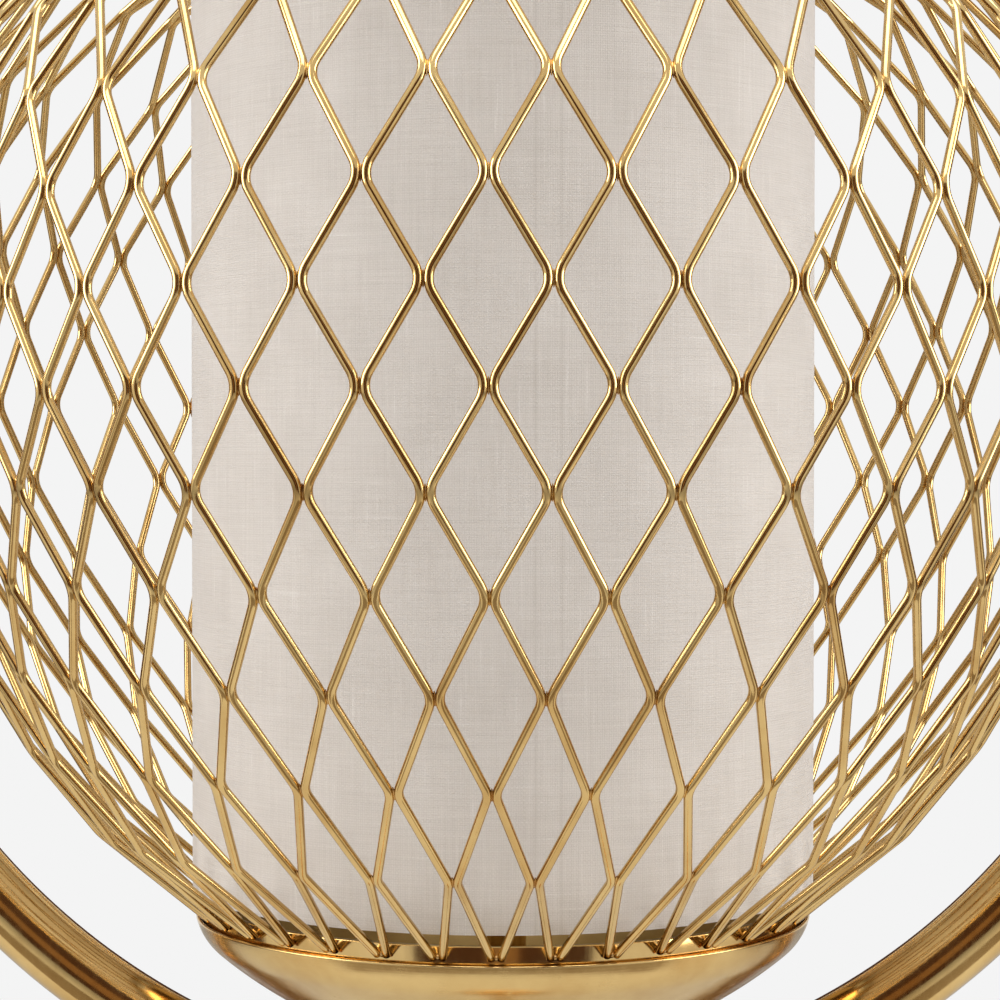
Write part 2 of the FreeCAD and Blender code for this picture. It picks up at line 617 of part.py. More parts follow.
def tube_with_ends(name, foot, top):
    """Make a pole tube whose two ends are thickened to take studs."""
    return turned(name, [
        ("stud_hole", foot), ("pole_radius", foot), ("pole_radius", top), ("stud_hole", top),
        ("stud_hole", f"{top} - plug_length"), ("pole_bore", f"{top} - plug_length"),
        ("pole_bore", f"{foot} + plug_length"), ("stud_hole", f"{foot} + plug_length")])


def make_pole():
    """Make the two pole tubes and what joins them."""
    node(tube_with_ends("pole_lower", "pole_foot", "pole_joint"), "pole_lower")
    node(tube_with_ends("pole_upper", "ring_top", "pole_top"), "pole_upper")
    node(ring("joint_stud", "stud_bore", "stud_radius", "pole_joint - stud_grip", "ring_top + stud_grip"),
         "joint_stud")
    joint = turned("joint_ring", [
        ("stud_hole", "pole_joint"),
        ("pole_radius", "pole_joint"),
        ("joint_ring_radius", "pole_joint + joint_ring_height / 4"),
        ("joint_ring_radius", "ring_top - joint_ring_height / 4"),
        ("pole_radius", "ring_top"),
        ("stud_hole", "ring_top")])
    node(joint, "joint_ring")


def make_hoop():
    """Make the hoop, the saddle under it, its crush tube and the neck on it."""
    bore = rod("hoop_bore", "sheet_hole", "hoop_tube * 2", z="hoop_low - hoop_tube / 2")
    outside = hoop_torus("hoop_outside", "hoop_tube / 2")
    inside = hoop_torus("hoop_inside", "hoop_tube / 2 - hoop_wall")
    node(cut("hoop", outside, inside, bore), "hoop")

    saddle_seat = hoop_torus("saddle_seat", "hoop_tube / 2 + seat_gap")
    saddle = turned("hoop_saddle_blank", [
        ("stem_hole", "pole_top - stud_grip"),
        ("stud_radius", "pole_top - stud_grip"),
        ("stud_radius", "pole_top"),
        ("pole_radius", "pole_top"),
        ("pole_radius", "pole_top + saddle_height / 4"),
        ("saddle_radius", "pole_top + saddle_height / 2"),
        ("saddle_radius", "hoop_low + saddle_wrap"),
        ("stem_hole", "hoop_low + saddle_wrap")])
    node(cut("hoop_saddle", saddle, saddle_seat), "hoop_saddle")

    spacer_blank = ring("hoop_spacer_blank", "stem_hole", "spacer_radius", "hoop_low", "hoop_seat")
    spacer_room = hoop_torus("spacer_room", "hoop_tube / 2 - hoop_wall - seat_gap")
    spacer = doc.addObject("Part::Common", "hoop_spacer")
    spacer.Base = spacer_blank
    spacer.Tool = spacer_room
    node(spacer, "hoop_spacer")

    neck = turned("dish_neck_blank", [
        ("stem_hole", "hoop_seat - saddle_wrap"),
        ("neck_radius", "hoop_seat - saddle_wrap"),
        ("neck_radius", "hoop_seat + neck_height / 3"),
        ("neck_flare", "dish_bottom"),
        ("neck_flare", "dish_bottom + saddle_wrap"),
        ("stem_hole", "dish_bottom + saddle_wrap")])
    neck_seat = hoop_torus("neck_seat", "hoop_tube / 2 + seat_gap")
    dish_seat = doc.addObject("Part::Sphere", "dish_seat")
    bind(dish_seat, Radius="dish_arc + seat_gap")
    put(dish_seat, z="arc_level")
    node(cut("dish_neck", neck, neck_seat, dish_seat), "dish_neck")

    node(ring("head_stem", "stem_bore", "stem_radius", "pole_top - stem_grip", "holder_foot + stem_top"),
         "head_stem")


# ---------------------------------------------------------------- cage and dish

def make_dish():
    """Make the spun dish and the washer, nut and riser in it."""
    dish = turned("dish", [
        ("sheet_hole", "arc_level - sqrt(dish_arc ^ 2 - sheet_hole ^ 2)", "dish_arc", -1),
        ("corner_side * blend_share", "arc_level - corner_fall * blend_share", "corner_arc", -1),
        ("lip_reach", "lip_level"),
        ("lip_inside", "lip_level", "inner_corner", 1),
        ("corner_side * inner_share", "arc_level - corner_fall * inner_share", "inner_arc", 1),
        ("sheet_hole", "arc_level - sqrt(inner_arc ^ 2 - sheet_hole ^ 2)")])
    node(dish, "dish")
    node(ring("dish_washer", "stem_hole", "dish_washer_radius", "washer_seat", "dish_nut_seat"),
         "dish_washer")
    node(hexagon_nut("dish_nut", "dish_nut_radius", "dish_nut_height", "stem_hole", "dish_nut_seat"),
         "dish_nut")
    node(ring("holder_riser", "stem_hole", "riser_radius", "riser_foot", "holder_foot"), "holder_riser")


def cage_girth(height):
    """Return the radius of the wires' middle line at a height over the cage's middle level."""
    climb = height - size("widest_rise")
    power = size("crown_fullness") if climb > 0 else 2.0
    reach = size("crown_reach") if climb > 0 else size("bowl_reach")
    return size("cage_radius") * (1 - (abs(climb) / reach) ** power) ** (1 / power)


def wire_corners(strip):
    """Return the corners of the zigzag wire that fills one strip between two meridians."""
    equator = size("equator")
    below = int(size("row_count_below"))
    steps = below + int(size("row_count_above"))
    pitch = size("row_pitch")
    bend = size("bend_radius")
    heights = [(level - below) * pitch for level in range(steps + 1)]
    heights.append(size("mouth_level") - equator)
    half_pitch = math.pi / size("node_columns")
    turn = math.radians(size("lattice_angle"))
    reach = size("wire_radius + touch_gap / 2")

    def place(level, pull):
        """Return the wire's corner on a level, drawn towards the joint by pull."""
        around = cage_girth(heights[level])
        left = (level - below - strip) % 2 == 0
        inset = (reach - pull) / around
        angle = turn + half_pitch * (strip + (0 if left else 1)) + (inset if left else -inset)
        return FreeCAD.Vector(around * math.sin(angle), -around * math.cos(angle),
                              equator + heights[level])

    # a rounded bend stays short of its corner, so the corners go further out by as much
    levels = range(len(heights))
    pulls = [0.0 for _ in levels]
    for _ in range(4):
        spots = [place(level, pulls[level]) for level in levels]
        for level in levels[1:-1]:
            back = (spots[level - 1] - spots[level]).normalize()
            ahead = (spots[level + 1] - spots[level]).normalize()
            half = (math.pi - back.getAngle(ahead)) / 2
            pulls[level] = bend * (1 / math.cos(half) - 1)
    return [place(level, pulls[level]) for level in levels]


def make_cage(groups=12):
    """Make the zigzag wires, in groups that lie side by side, and the bands at both ends."""
    masters = [swept(rounded_path(wire_corners(strip), size("bend_radius")), size("wire_radius"))
               for strip in (0, 1)]
    columns = int(size("node_columns"))
    middle = FreeCAD.Vector(0, 0, 0)
    upright = FreeCAD.Vector(0, 0, 1)
    for group in range(groups):
        wires = []
        for column in range(group * columns // groups, (group + 1) * columns // groups):
            for master in masters:
                wire = master.copy()
                wire.rotate(middle, upright, 360.0 * column / columns)
                wires.append(wire)
        cluster = doc.addObject("Part::Feature", f"cage_wires_{group + 1:02d}")
        cluster.Shape = Part.makeCompound(wires)
        node(cluster, f"cage_wires_{group + 1:02d}")
    node(ring("cage_foot_band", "foot_band - band_wall", "foot_band", "band_seat",
              "foot_level + band_rise"), "cage_foot_band")
    node(ring("cage_mouth_band", "mouth_inside", "mouth_band", "mouth_level - band_rise",
              "mouth_level + mouth_rise"), "cage_mouth_band")


# ---------------------------------------------------------------- shade

def make_shade():
    """Make the linen drum, its liner, its hem rings and the spider that carries it."""
    node(ring("shade_linen", "shade_inside", "shade_radius", "shade_bottom", "shade_top"), "shade_linen")
    node(ring("shade_liner", "liner_inside", "liner_radius", "shade_bottom", "shade_top"), "shade_liner")
    node(lying_torus("hem_ring_low", "hem_radius", "hem_wire / 2", "hem_low"), "hem_ring_low")
    node(lying_torus("hem_ring_high", "hem_radius", "hem_wire / 2", "hem_high"), "hem_ring_high")

    spider = ring("shade_spider", "clamp_bore", "clamp_ring_radius", "spider_foot", "spider_top")
    arm_outline = sketch_on(spider, "XZ_Plane", "arm_outline", [
        ("clamp_ring_radius - arm_width", "spider_foot"),
        ("clamp_ring_radius + glue_gap", "spider_foot"),
        ("hem_radius - hem_wire / 2 - glue_gap", "hem_low - arm_width / 2"),
        ("hem_radius - hem_wire / 2 - glue_gap", "hem_low + arm_width / 2"),
        ("clamp_ring_radius + arm_width", "spider_top"),
        ("clamp_ring_radius - arm_width", "spider_top")])
    arm = spider.newObject("PartDesign::Pad", "spider_arm")
    arm.Profile = arm_outline
    arm.Midplane = True
    bind(arm, Length="arm_width")
    doc.recompute()
    arms = spider.newObject("PartDesign::PolarPattern", "spider_arms")
    arms.Originals = [arm]
    arms.Axis = (arm_outline, ["V_Axis"])
    arms.Angle = 360.0
    bind(arms, Occurrences="arm_count")
    spider.Tip = arms
    node(spider, "shade_spider")
    for name, foot in (("clamp_ring_low", "clamp_foot"), ("clamp_ring_high", "spider_top")):
        node(ring(name, "clamp_bore", "clamp_ring_radius", foot, f"{foot} + clamp_ring_height"), name)


# ---------------------------------------------------------------- lampholder, bulb and lead

def make_holder():
    """Make the lampholder on top of the riser."""
    cap = turned("holder_cap", [
        ("stem_hole", "holder_foot"),
        ("holder_radius", "holder_foot"),
        ("holder_radius", "cap_rim"),
        ("cap_inside", "cap_rim"),
        ("cap_inside", "cap_floor"),
        ("stem_hole", "cap_floor")])
    node(cap, "holder_cap")
    insert = turned("holder_insert", [
        ("0", "insert_foot"), ("spigot_radius", "insert_foot"),
        ("spigot_radius", "insert_top"), ("0", "insert_top")])
    node(insert, "holder_insert")
    shell = turned("holder_shell", [
        ("shell_bore", "insert_top"),
        ("spigot_radius", "insert_top"),
        ("spigot_radius", "cap_rim"),
        ("holder_radius", "cap_rim"),
        ("holder_radius", "shell_top"),
        ("shell_bore", "shell_top")])
    node(shell, "holder_shell")
    node(ring("holder_sleeve", "sleeve_bore", "sleeve_radius", "insert_top", "insert_top + sleeve_height"),
         "holder_sleeve")
    contact = turned("holder_contact", [
        ("0", "insert_top"), ("contact_radius", "insert_top"),
        ("contact_radius", "insert_top + contact_height"), ("0", "insert_top + contact_height")])
    node(contact, "holder_contact")


def make_bulb():
    """Make the bulb that screws into the lampholder."""
    tip = turned("bulb_tip", [
        ("0", "bulb_foot"), ("tip_radius", "bulb_foot"),
        ("tip_shoulder", "screw_foot"), ("0", "screw_foot")])
    node(tip, "bulb_tip")
    cap = turned("bulb_cap", [
        ("0", "screw_foot"),
        ("screw_radius", "screw_foot"),
        ("screw_radius", "screw_top"),
        ("screw_bore", "screw_top"),
        ("screw_bore", "screw_foot + cap_wall"),
        ("0", "screw_foot + cap_wall")])
    node(cap, "bulb_cap")
    post = turned("bulb_post", [
        ("0", "screw_foot + cap_wall"), ("post_radius", "screw_foot + cap_wall"),
        ("post_radius", "screw_foot + post_height"), ("0", "screw_foot + post_height")])
    node(post, "bulb_post")
    glass = turned("bulb_glass", [
        ("glass_neck - glass_wall", "glass_foot"),
        ("glass_neck", "glass_foot"),
        ("glass_neck", "screw_top"),
        ("bulb_shoulder", "shoulder_level", "bulb_radius", -1),
        ("0", "bulb_top"),
        ("0", "bulb_top - glass_wall", "globe_inside", 1),
        ("inner_shoulder", "inner_level"),
        ("glass_neck - glass_wall", "screw_top")])
    node(glass, "bulb_glass")


def make_lead():
    """Make the lead from the foot switch through the pole to the lampholder."""
    low = size("lead_level")
    start = size("housing_radius - switch_offset + lead_seat")
    end = size("insert_foot - lead_seat")
    corners = [FreeCAD.Vector(0, start, low), FreeCAD.Vector(0, 0, low), FreeCAD.Vector(0, 0, end)]
    lead = doc.addObject("Part::Feature", "inner_lead")
    lead.Shape = swept(rounded_path(corners, size("lead_bend")), size("lead_size / 2"))
    node(lead, "inner_lead")


make_base()
make_switch()
make_pole()
make_hoop()
make_dish()
make_cage()
make_shade()
make_holder()
make_bulb()
make_lead()
doc.recompute()

# ---------------------------------------------------------------- checks and files

for thing in doc.Objects:
    if "Invalid" in thing.State or "Error" in thing.State:
        raise RuntimeError(f"{thing.Label} could not be made: {thing.State}")
for label, thing in nodes.items():
    if thing.Shape.isNull() or not thing.Shape.isValid() or not thing.Shape.Solids:
        raise RuntimeError(f"{label} has no valid solid")

os.makedirs("parts", exist_ok=True)
for label, thing in nodes.items():
    thing.Shape.exportStep(f"parts/{label}.step")
    print(f"{label}: {len(thing.Shape.Solids)} solids, {thing.Shape.Volume:.1f} cubic mm")
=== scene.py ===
import logging
import math
from collections.abc import Iterable, Sequence
from dataclasses import dataclass, field
from enum import Enum
from functools import cached_property

import bmesh
import bpy
from mathutils import Matrix, Vector


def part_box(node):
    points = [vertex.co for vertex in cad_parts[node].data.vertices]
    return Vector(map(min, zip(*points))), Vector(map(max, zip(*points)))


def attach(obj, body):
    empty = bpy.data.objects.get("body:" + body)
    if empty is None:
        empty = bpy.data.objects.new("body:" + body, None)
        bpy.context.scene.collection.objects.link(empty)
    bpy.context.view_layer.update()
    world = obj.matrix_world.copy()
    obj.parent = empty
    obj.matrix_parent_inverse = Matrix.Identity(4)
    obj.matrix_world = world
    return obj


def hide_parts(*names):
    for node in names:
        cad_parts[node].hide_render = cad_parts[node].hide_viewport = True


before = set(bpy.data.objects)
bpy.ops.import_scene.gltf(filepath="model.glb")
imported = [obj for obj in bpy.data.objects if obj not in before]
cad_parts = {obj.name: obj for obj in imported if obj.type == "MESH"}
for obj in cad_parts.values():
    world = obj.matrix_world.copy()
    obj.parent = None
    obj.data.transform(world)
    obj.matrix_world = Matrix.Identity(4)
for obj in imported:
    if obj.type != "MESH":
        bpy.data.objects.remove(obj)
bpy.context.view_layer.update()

# Wire cage floor lamp. Metres, +Z up, origin on the floor under the middle of the base.
# The front is -Y, and an azimuth counts from the front towards +X.

UP = Vector((0.0, 0.0, 1.0))
FULL_TURN = 2.0 * math.pi
MERGE = 1e-6
FINE_EASE, EASE, WIDE_EASE = 0.0002, 0.0003, 0.0004

log = logging.getLogger("floor_lamp")

Colour = tuple[float, float, float]
Corner = tuple[float, float]


def srgb(red: float, green: float, blue: float) -> Colour:
    """Turn display values into a linear colour.

    Args:
        red: Display value from 0 to 255.
        green: Display value from 0 to 255.
        blue: Display value from 0 to 255.

    Returns:
        The linear colour that a shader takes.
    """

    def linear(value: float) -> float:
        """Undo the display curve of one channel."""
        share = value / 255.0
        return share / 12.92 if share <= 0.04045 else ((share + 0.055) / 1.055) ** 2.4

    return linear(red), linear(green), linear(blue)


# ---------------------------------------------------------------- shader graphs


class Signal:
    """One output socket of a shader graph. Arithmetic on it adds Math nodes."""

    def __init__(self, graph: "Graph", socket: bpy.types.NodeSocket) -> None:
        """Keep the socket and its graph."""
        self.graph = graph
        self.socket = socket

    def math(self, operation: str, *values: "Signal | float") -> "Signal":
        """Add one Math node.

        Args:
            operation: The Math node's operation.
            values: Its inputs, in order.

        Returns:
            The node's result.
        """
        return self.graph.node("ShaderNodeMath", {"operation": operation}, dict(enumerate(values)))

    def __add__(self, other: "Signal | float") -> "Signal":
        """Add."""
        return self.math("ADD", self, other)

    def __radd__(self, other: float) -> "Signal":
        """Add to a number."""
        return self.math("ADD", other, self)

    def __sub__(self, other: "Signal | float") -> "Signal":
        """Subtract."""
        return self.math("SUBTRACT", self, other)

    def __rsub__(self, other: float) -> "Signal":
        """Subtract from a number."""
        return self.math("SUBTRACT", other, self)

    def __mul__(self, other: "Signal | float") -> "Signal":
        """Multiply."""
        return self.math("MULTIPLY", self, other)

    def __pow__(self, other: "Signal | float") -> "Signal":
        """Raise to a power."""
        return self.math("POWER", self, other)

    def __abs__(self) -> "Signal":
        """Drop the sign."""
        return self.math("ABSOLUTE", self)

    def __gt__(self, other: "Signal | float") -> "Signal":
        """Give 1 where greater and 0 elsewhere."""
        return self.math("GREATER_THAN", self, other)

    def sine(self) -> "Signal":
        """Give the sine of an angle in radians."""
        return self.math("SINE", self)

    def larger(self, other: "Signal | float") -> "Signal":
        """Give the larger of two."""
        return self.math("MAXIMUM", self, other)

    def ramp(self, low: float, high: float) -> "Signal":
        """Rise smoothly from 0 at low to 1 at high."""
        return self.graph.node(
            "ShaderNodeMapRange",
            {"interpolation_type": "SMOOTHSTEP"},
            {"Value": self, "From Min": low, "From Max": high},
        )


class Graph:
    """The node tree of a material or of the world."""

    MIX_FACTOR, MIX_FIRST, MIX_SECOND, MIX_RESULT = 0, 6, 7, 2

    def __init__(self, tree: bpy.types.NodeTree) -> None:
        """Take a tree and empty it."""
        tree.nodes.clear()
        self.tree = tree

    def node(
        self,
        kind: str,
        settings: dict[str, object] | None = None,
        inputs: dict[str | int, object] | None = None,
        output: str | int = 0,
    ) -> Signal:
        """Add any node.

        Args:
            kind: The node's type.
            settings: Its properties, set before its sockets.
            inputs: A value or a signal for each named or numbered socket.
            output: The socket to hand back.

        Returns:
            The chosen output.
        """
        made = self.tree.nodes.new(kind)
        for name, value in (settings or {}).items():
            setattr(made, name, value)
        for name, value in (inputs or {}).items():
            socket = made.inputs[name]
            if isinstance(value, Signal):
                self.tree.links.new(value.socket, socket)
            elif socket.type == "RGBA" and len(value) == 3:
                socket.default_value = (*value, 1.0)
            else:
                socket.default_value = value
        return Signal(self, made.outputs[output])

    def place(self) -> Signal:
        """Give the place on the piece, in metres."""
        return self.node("ShaderNodeTexCoord", output="Object")

    def axes(self, vector: Signal) -> tuple[Signal, Signal, Signal]:
        """Take a vector apart."""
        first = self.node("ShaderNodeSeparateXYZ", None, {0: vector}, "X")
        outputs = first.socket.node.outputs
        return first, Signal(self, outputs["Y"]), Signal(self, outputs["Z"])

    def scaled(self, vector: Signal, scale: Sequence[float]) -> Signal:
        """Stretch a pattern's coordinates."""
        return self.node("ShaderNodeMapping", None, {"Vector": vector, "Scale": tuple(scale)})

    def noise(
        self, vector: Signal, scale: float, detail: float = 3.0, rough: float = 0.5
    ) -> Signal:
        """Add cloud noise.

        Args:
            vector: Where it is read.
            scale: Features for each metre.
            detail: Octaves.
            rough: Share of the fine octaves.

        Returns:
            A value about one half.
        """
        sockets = {"Vector": vector, "Scale": scale, "Detail": detail, "Roughness": rough}
        return self.node("ShaderNodeTexNoise", None, sockets)

    def mix(self, factor: Signal | float, first: object, second: object) -> Signal:
        """Mix two colours.

        Args:
            factor: Share of the second.
            first: Colour or signal at factor 0.
            second: Colour or signal at factor 1.

        Returns:
            The mixed colour.
        """
        sockets = {self.MIX_FACTOR: factor, self.MIX_FIRST: first, self.MIX_SECOND: second}
        return self.node("ShaderNodeMix", {"data_type": "RGBA"}, sockets, self.MIX_RESULT)

    def bump(self, height: Signal, distance: float) -> Signal:
        """Turn a height into a normal."""
        return self.node("ShaderNodeBump", None, {"Distance": distance, "Height": height})

    def surface(self, **sockets: object) -> None:
        """Add the main shader and the output.

        Args:
            sockets: A value or a signal for each named socket, with _ for a space.
        """
        named = {name.replace("_", " "): value for name, value in sockets.items()}
        shader = self.node("ShaderNodeBsdfPrincipled", None, named)
        self.node_output("ShaderNodeOutputMaterial", shader)

    def node_output(self, kind: str, shader: Signal) -> None:
        """Add an output node and feed its surface."""
        end = self.tree.nodes.new(kind)
        self.tree.links.new(shader.socket, end.inputs["Surface"])


# ---------------------------------------------------------------- finishes


class Grain(Enum):
    """How the marks of making lie on a surface."""

    PLAIN = "plain"
    TURNED = "turned"
    CAST = "cast"


@dataclass(frozen=True)
class Finish:
    """A surface finish. Each kind fills its own graph."""

    name: str

    def build(self) -> bpy.types.Material:
        """Make the material."""
        material = bpy.data.materials.new(self.name)
        material.use_nodes = True
        self.fill(Graph(material.node_tree))
        return material

    def fill(self, graph: Graph) -> None:
        """Add the nodes of this finish."""
        raise NotImplementedError


@dataclass(frozen=True)
class Metal(Finish):
    """Bare or lacquered metal.

    Attributes:
        bright: Colour of the clean metal.
        deep: Colour where it has toned.
        rough: Least roughness.
        spread: What wiping marks add to it.
        grain: How its marks lie.
        relief: Depth of those marks, in metres.
    """

    bright: Colour
    deep: Colour
    rough: float
    spread: float
    grain: Grain = Grain.PLAIN
    relief: float = 4e-6

    TONE_SCALE = 26.0
    WIPE_SCALE = 140.0
    MARK_SCALE = 900.0
    LINE_SCALE = 1500.0

    def marks(self, graph: Graph, place: Signal) -> Signal:
        """Draw the marks of making.

        Args:
            graph: The graph to add to.
            place: Place on the piece.

        Returns:
            Height of the marks, about one half.
        """
        if self.grain is Grain.TURNED:
            x, y, z = graph.axes(place)
            reach = (x * x + y * y) ** 0.5 + z
            return graph.node(
                "ShaderNodeTexNoise",
                {"noise_dimensions": "1D"},
                {"W": reach, "Scale": self.LINE_SCALE, "Detail": 4.0, "Roughness": 0.7},
            )
        if self.grain is Grain.CAST:
            return graph.noise(place, self.MARK_SCALE, 5.0, 0.7)
        return graph.noise(graph.scaled(place, (1.0, 1.0, 0.12)), self.MARK_SCALE, 2.0)

    def fill(self, graph: Graph) -> None:
        """Add the nodes of the metal."""
        place = graph.place()
        tone = graph.noise(place, self.TONE_SCALE, 5.0, 0.6).ramp(0.35, 0.75)
        wiped = graph.noise(graph.scaled(place, (1.0, 1.0, 0.3)), self.WIPE_SCALE, 4.0, 0.6)
        marks = self.marks(graph, place)
        graph.surface(
            Base_Color=graph.mix(tone, self.bright, self.deep),
            Metallic=1.0,
            Roughness=self.rough + (wiped * 0.6 + marks * 0.4).ramp(0.3, 0.75) * self.spread,
            Normal=graph.bump(marks, self.relief),
        )


@dataclass(frozen=True)
class Coating(Finish):
    """Paint, moulding, rubber, glaze or card.

    Attributes:
        colour: Main colour.
        second: Colour of its mottle.
        rough: Roughness.
        peel: Features of the surface's relief for each metre.
        relief: Depth of that relief, in metres.
        coat: Weight of a clear gloss over it.
        glow: Weight of light let through below the surface.
    """

    colour: Colour
    second: Colour
    rough: float
    peel: float = 700.0
    relief: float = 1e-5
    coat: float = 0.0
    glow: float = 0.0

    def fill(self, graph: Graph) -> None:
        """Add the nodes of the coating."""
        place = graph.place()
        mottle = graph.noise(place, self.peel / 9.0, 4.0, 0.6)
        fine = graph.noise(place, self.peel, 3.0, 0.5)
        graph.surface(
            Base_Color=graph.mix(mottle.ramp(0.3, 0.7), self.colour, self.second),
            Roughness=self.rough + (fine - 0.5) * 0.18 + (mottle - 0.5) * 0.12,
            Coat_Weight=self.coat,
            Coat_Roughness=0.08,
            Subsurface_Weight=self.glow,
            Subsurface_Radius=(0.01, 0.01, 0.01),
            Normal=graph.bump(fine, self.relief),
        )


@dataclass(frozen=True)
class Linen(Finish):
    """Plain-woven linen, drawn on the cloth's own map, whose unit is the metre.

    Attributes:
        thread: Colour of the threads.
        shade: Colour of dark threads, and of the painted shade in the weave's gaps and along the
            edges of the lapped seam.
        pale: Colour of the slubs.
        pitch: Distance between threads.
        relief: Thickness of a thread that shows.
        seam: Distance round the drum to its glued seam.
        seam_width: Width of the cloth that laps over there.
    """

    thread: Colour
    shade: Colour
    pale: Colour
    pitch: float = 0.00074
    relief: float = 0.00016
    seam: float = 0.0
    seam_width: float = 0.008

    MAP = "cloth"
    WANDER = 0.00022
    WANDER_SCALE = (90.0, 25.0, 1.0)
    SLUB_SCALE = (1.0 / 0.0012, 1.0 / 0.030, 1.0)
    FLUFF_SCALE = 2600.0
    CLOUD_SCALE = 34.0
    LAP_SHADE_WIDTH = 0.0009

    def yarn(self, graph: Graph, cloth: Signal, upright: bool) -> tuple[Signal, Signal]:
        """Draw the yarns that run one way.

        Args:
            graph: The graph to add to.
            cloth: Place on the cloth.
            upright: Whether they run up the drum.

        Returns:
            Their wave, and their uneven thickness about one half.
        """

        def stretched(scale: Sequence[float]) -> Signal:
            """Stretch the cloth's coordinates along the yarn."""
            return graph.scaled(cloth, scale if upright else (scale[1], scale[0], scale[2]))

        slub = graph.noise(stretched(self.SLUB_SCALE), 1.0, 4.0, 0.62)
        drift = graph.noise(stretched(self.WANDER_SCALE), 1.0)
        first, second, _ = graph.axes(cloth)
        run = first if upright else second
        wave = ((run + (drift - 0.5) * (2.0 * self.WANDER)) * (math.pi / self.pitch)).sine()
        return wave, slub

    def fill(self, graph: Graph) -> None:
        """Add the nodes of the linen."""
        cloth = graph.node("ShaderNodeUVMap", {"uv_map": self.MAP})
        warp, warp_slub = self.yarn(graph, cloth, True)
        weft, weft_slub = self.yarn(graph, cloth, False)
        over = (warp * weft) > 0.0
        warp_round, weft_round = abs(warp), abs(weft)
        warp_rise = warp_round * (weft_round * 0.45 + 0.55)
        weft_rise = weft_round * (warp_round * 0.45 + 0.55)
        weave = over * warp_rise + (1.0 - over) * weft_rise
        thick = over * warp_slub + (1.0 - over) * weft_slub
        fluff = graph.noise(cloth, self.FLUFF_SCALE, 3.0, 0.6)
        cloud = graph.noise(cloth, self.CLOUD_SCALE, 3.0, 0.55)
        slubs = warp_slub.ramp(0.60, 0.80).larger(weft_slub.ramp(0.62, 0.82))
        # The weave's crests are lighter and its gaps darker, which is painted shade, mixed with the
        # random tone of slubs, fluff and cloud.
        light = (weave * 0.2 + thick * 0.55 + fluff * 0.45 + cloud * 0.35).ramp(0.3, 1.2)
        # Painted shade: a thin darker line along both edges of the lapped seam, where the top ply
        # steps over the one beneath.
        around, _, _ = graph.axes(cloth)
        lap = abs(around - self.seam)
        edge = 1.0 - abs(lap - self.seam_width / 2.0).ramp(0.0, self.LAP_SHADE_WIDTH)
        ground = graph.mix(light, self.shade, self.thread)
        toned = graph.mix(slubs * 0.5, ground, self.pale)
        height = weave * 0.3 + thick * 0.9 + fluff * 0.5
        graph.surface(
            Base_Color=graph.mix(edge * 0.35, toned, self.shade),
            Roughness=0.86 + (fluff - 0.5) * 0.2,
            Sheen_Weight=0.25,
            Sheen_Roughness=0.5,
            Normal=graph.bump(height, self.relief),
        )


BRASS = srgb(214, 182, 122)
BRASS_DEEP = srgb(190, 152, 92)

FINISHES: tuple[Finish, ...] = (
    Metal("polished_brass", BRASS, BRASS_DEEP, 0.09, 0.10),
    Metal("spun_brass", BRASS, BRASS_DEEP, 0.16, 0.14, Grain.TURNED, 6e-6),
    Metal("braze", srgb(204, 168, 112), srgb(170, 128, 78), 0.18, 0.16, Grain.CAST, 1e-5),
    Linen("linen", srgb(229, 223, 217), srgb(194, 186, 178), srgb(244, 240, 236), seam=0.3452),
    Coating("liner", srgb(240, 236, 226), srgb(232, 227, 214), 0.55, 500.0, 8e-6),
    Coating("white_lacquer", srgb(236, 234, 228), srgb(228, 226, 219), 0.35, 900.0, 1.2e-5, 0.2),
    Metal("raw_iron", srgb(92, 88, 84), srgb(58, 52, 48), 0.55, 0.25, Grain.CAST, 1.2e-4),
    Coating("black_rubber", srgb(34, 33, 33), srgb(44, 43, 42), 0.72, 1400.0, 2e-5),
    Metal("zinc_steel", srgb(190, 192, 192), srgb(158, 160, 158), 0.28, 0.18),
    Coating("black_moulding", srgb(26, 25, 25), srgb(34, 33, 32), 0.32, 800.0, 6e-6, 0.25),
    Coating("white_ceramic", srgb(238, 235, 226), srgb(228, 223, 212), 0.30, 500.0, 1e-5, 0.4),
    Metal("contact_brass", srgb(214, 176, 104), srgb(184, 144, 82), 0.26, 0.18),
    Coating("opal_glass", srgb(244, 243, 238), srgb(240, 239, 233), 0.22, 300.0, 2e-6, 0.5, 0.25),
    Metal("bulb_metal", srgb(200, 200, 202), srgb(176, 176, 178), 0.24, 0.14),
    Coating("bulb_insulator", srgb(24, 24, 26), srgb(34, 33, 34), 0.22, 600.0, 6e-6, 0.4),
    Coating("bulb_carrier", srgb(232, 230, 224), srgb(222, 219, 211), 0.35),
    Coating("lead_sheath", srgb(206, 182, 138), srgb(190, 160, 112), 0.30, 600.0, 8e-6, 0.5),
)


# ---------------------------------------------------------------- mesh work


def filed(mesh: bmesh.types.BMesh, name: str) -> bpy.types.Mesh:
    """Turn a mesh under work into a mesh of the file, and free it."""
    data = bpy.data.meshes.new(name)
    mesh.to_mesh(data)
    mesh.free()
    return data


def linked(name: str, data: bpy.types.ID) -> bpy.types.Object:
    """Put an object into the scene."""
    made = bpy.data.objects.new(name, data)
    bpy.context.scene.collection.objects.link(made)
    return made


def outline(corners: Iterable[Corner], closed: bool = True) -> bmesh.types.BMesh:
    """Draw a section beside the Z axis.

    Args:
        corners: Radius and height of each corner, in order.
        closed: Whether the last corner joins the first.

    Returns:
        A mesh that holds only the section's edges.
    """
    mesh = bmesh.new()
    spots = [mesh.verts.new((radius, 0.0, height)) for radius, height in corners]
    pairs = list(zip(spots, spots[1:]))
    if closed:
        pairs.append((spots[-1], spots[0]))
    for pair in pairs:
        mesh.edges.new(pair)
    return mesh


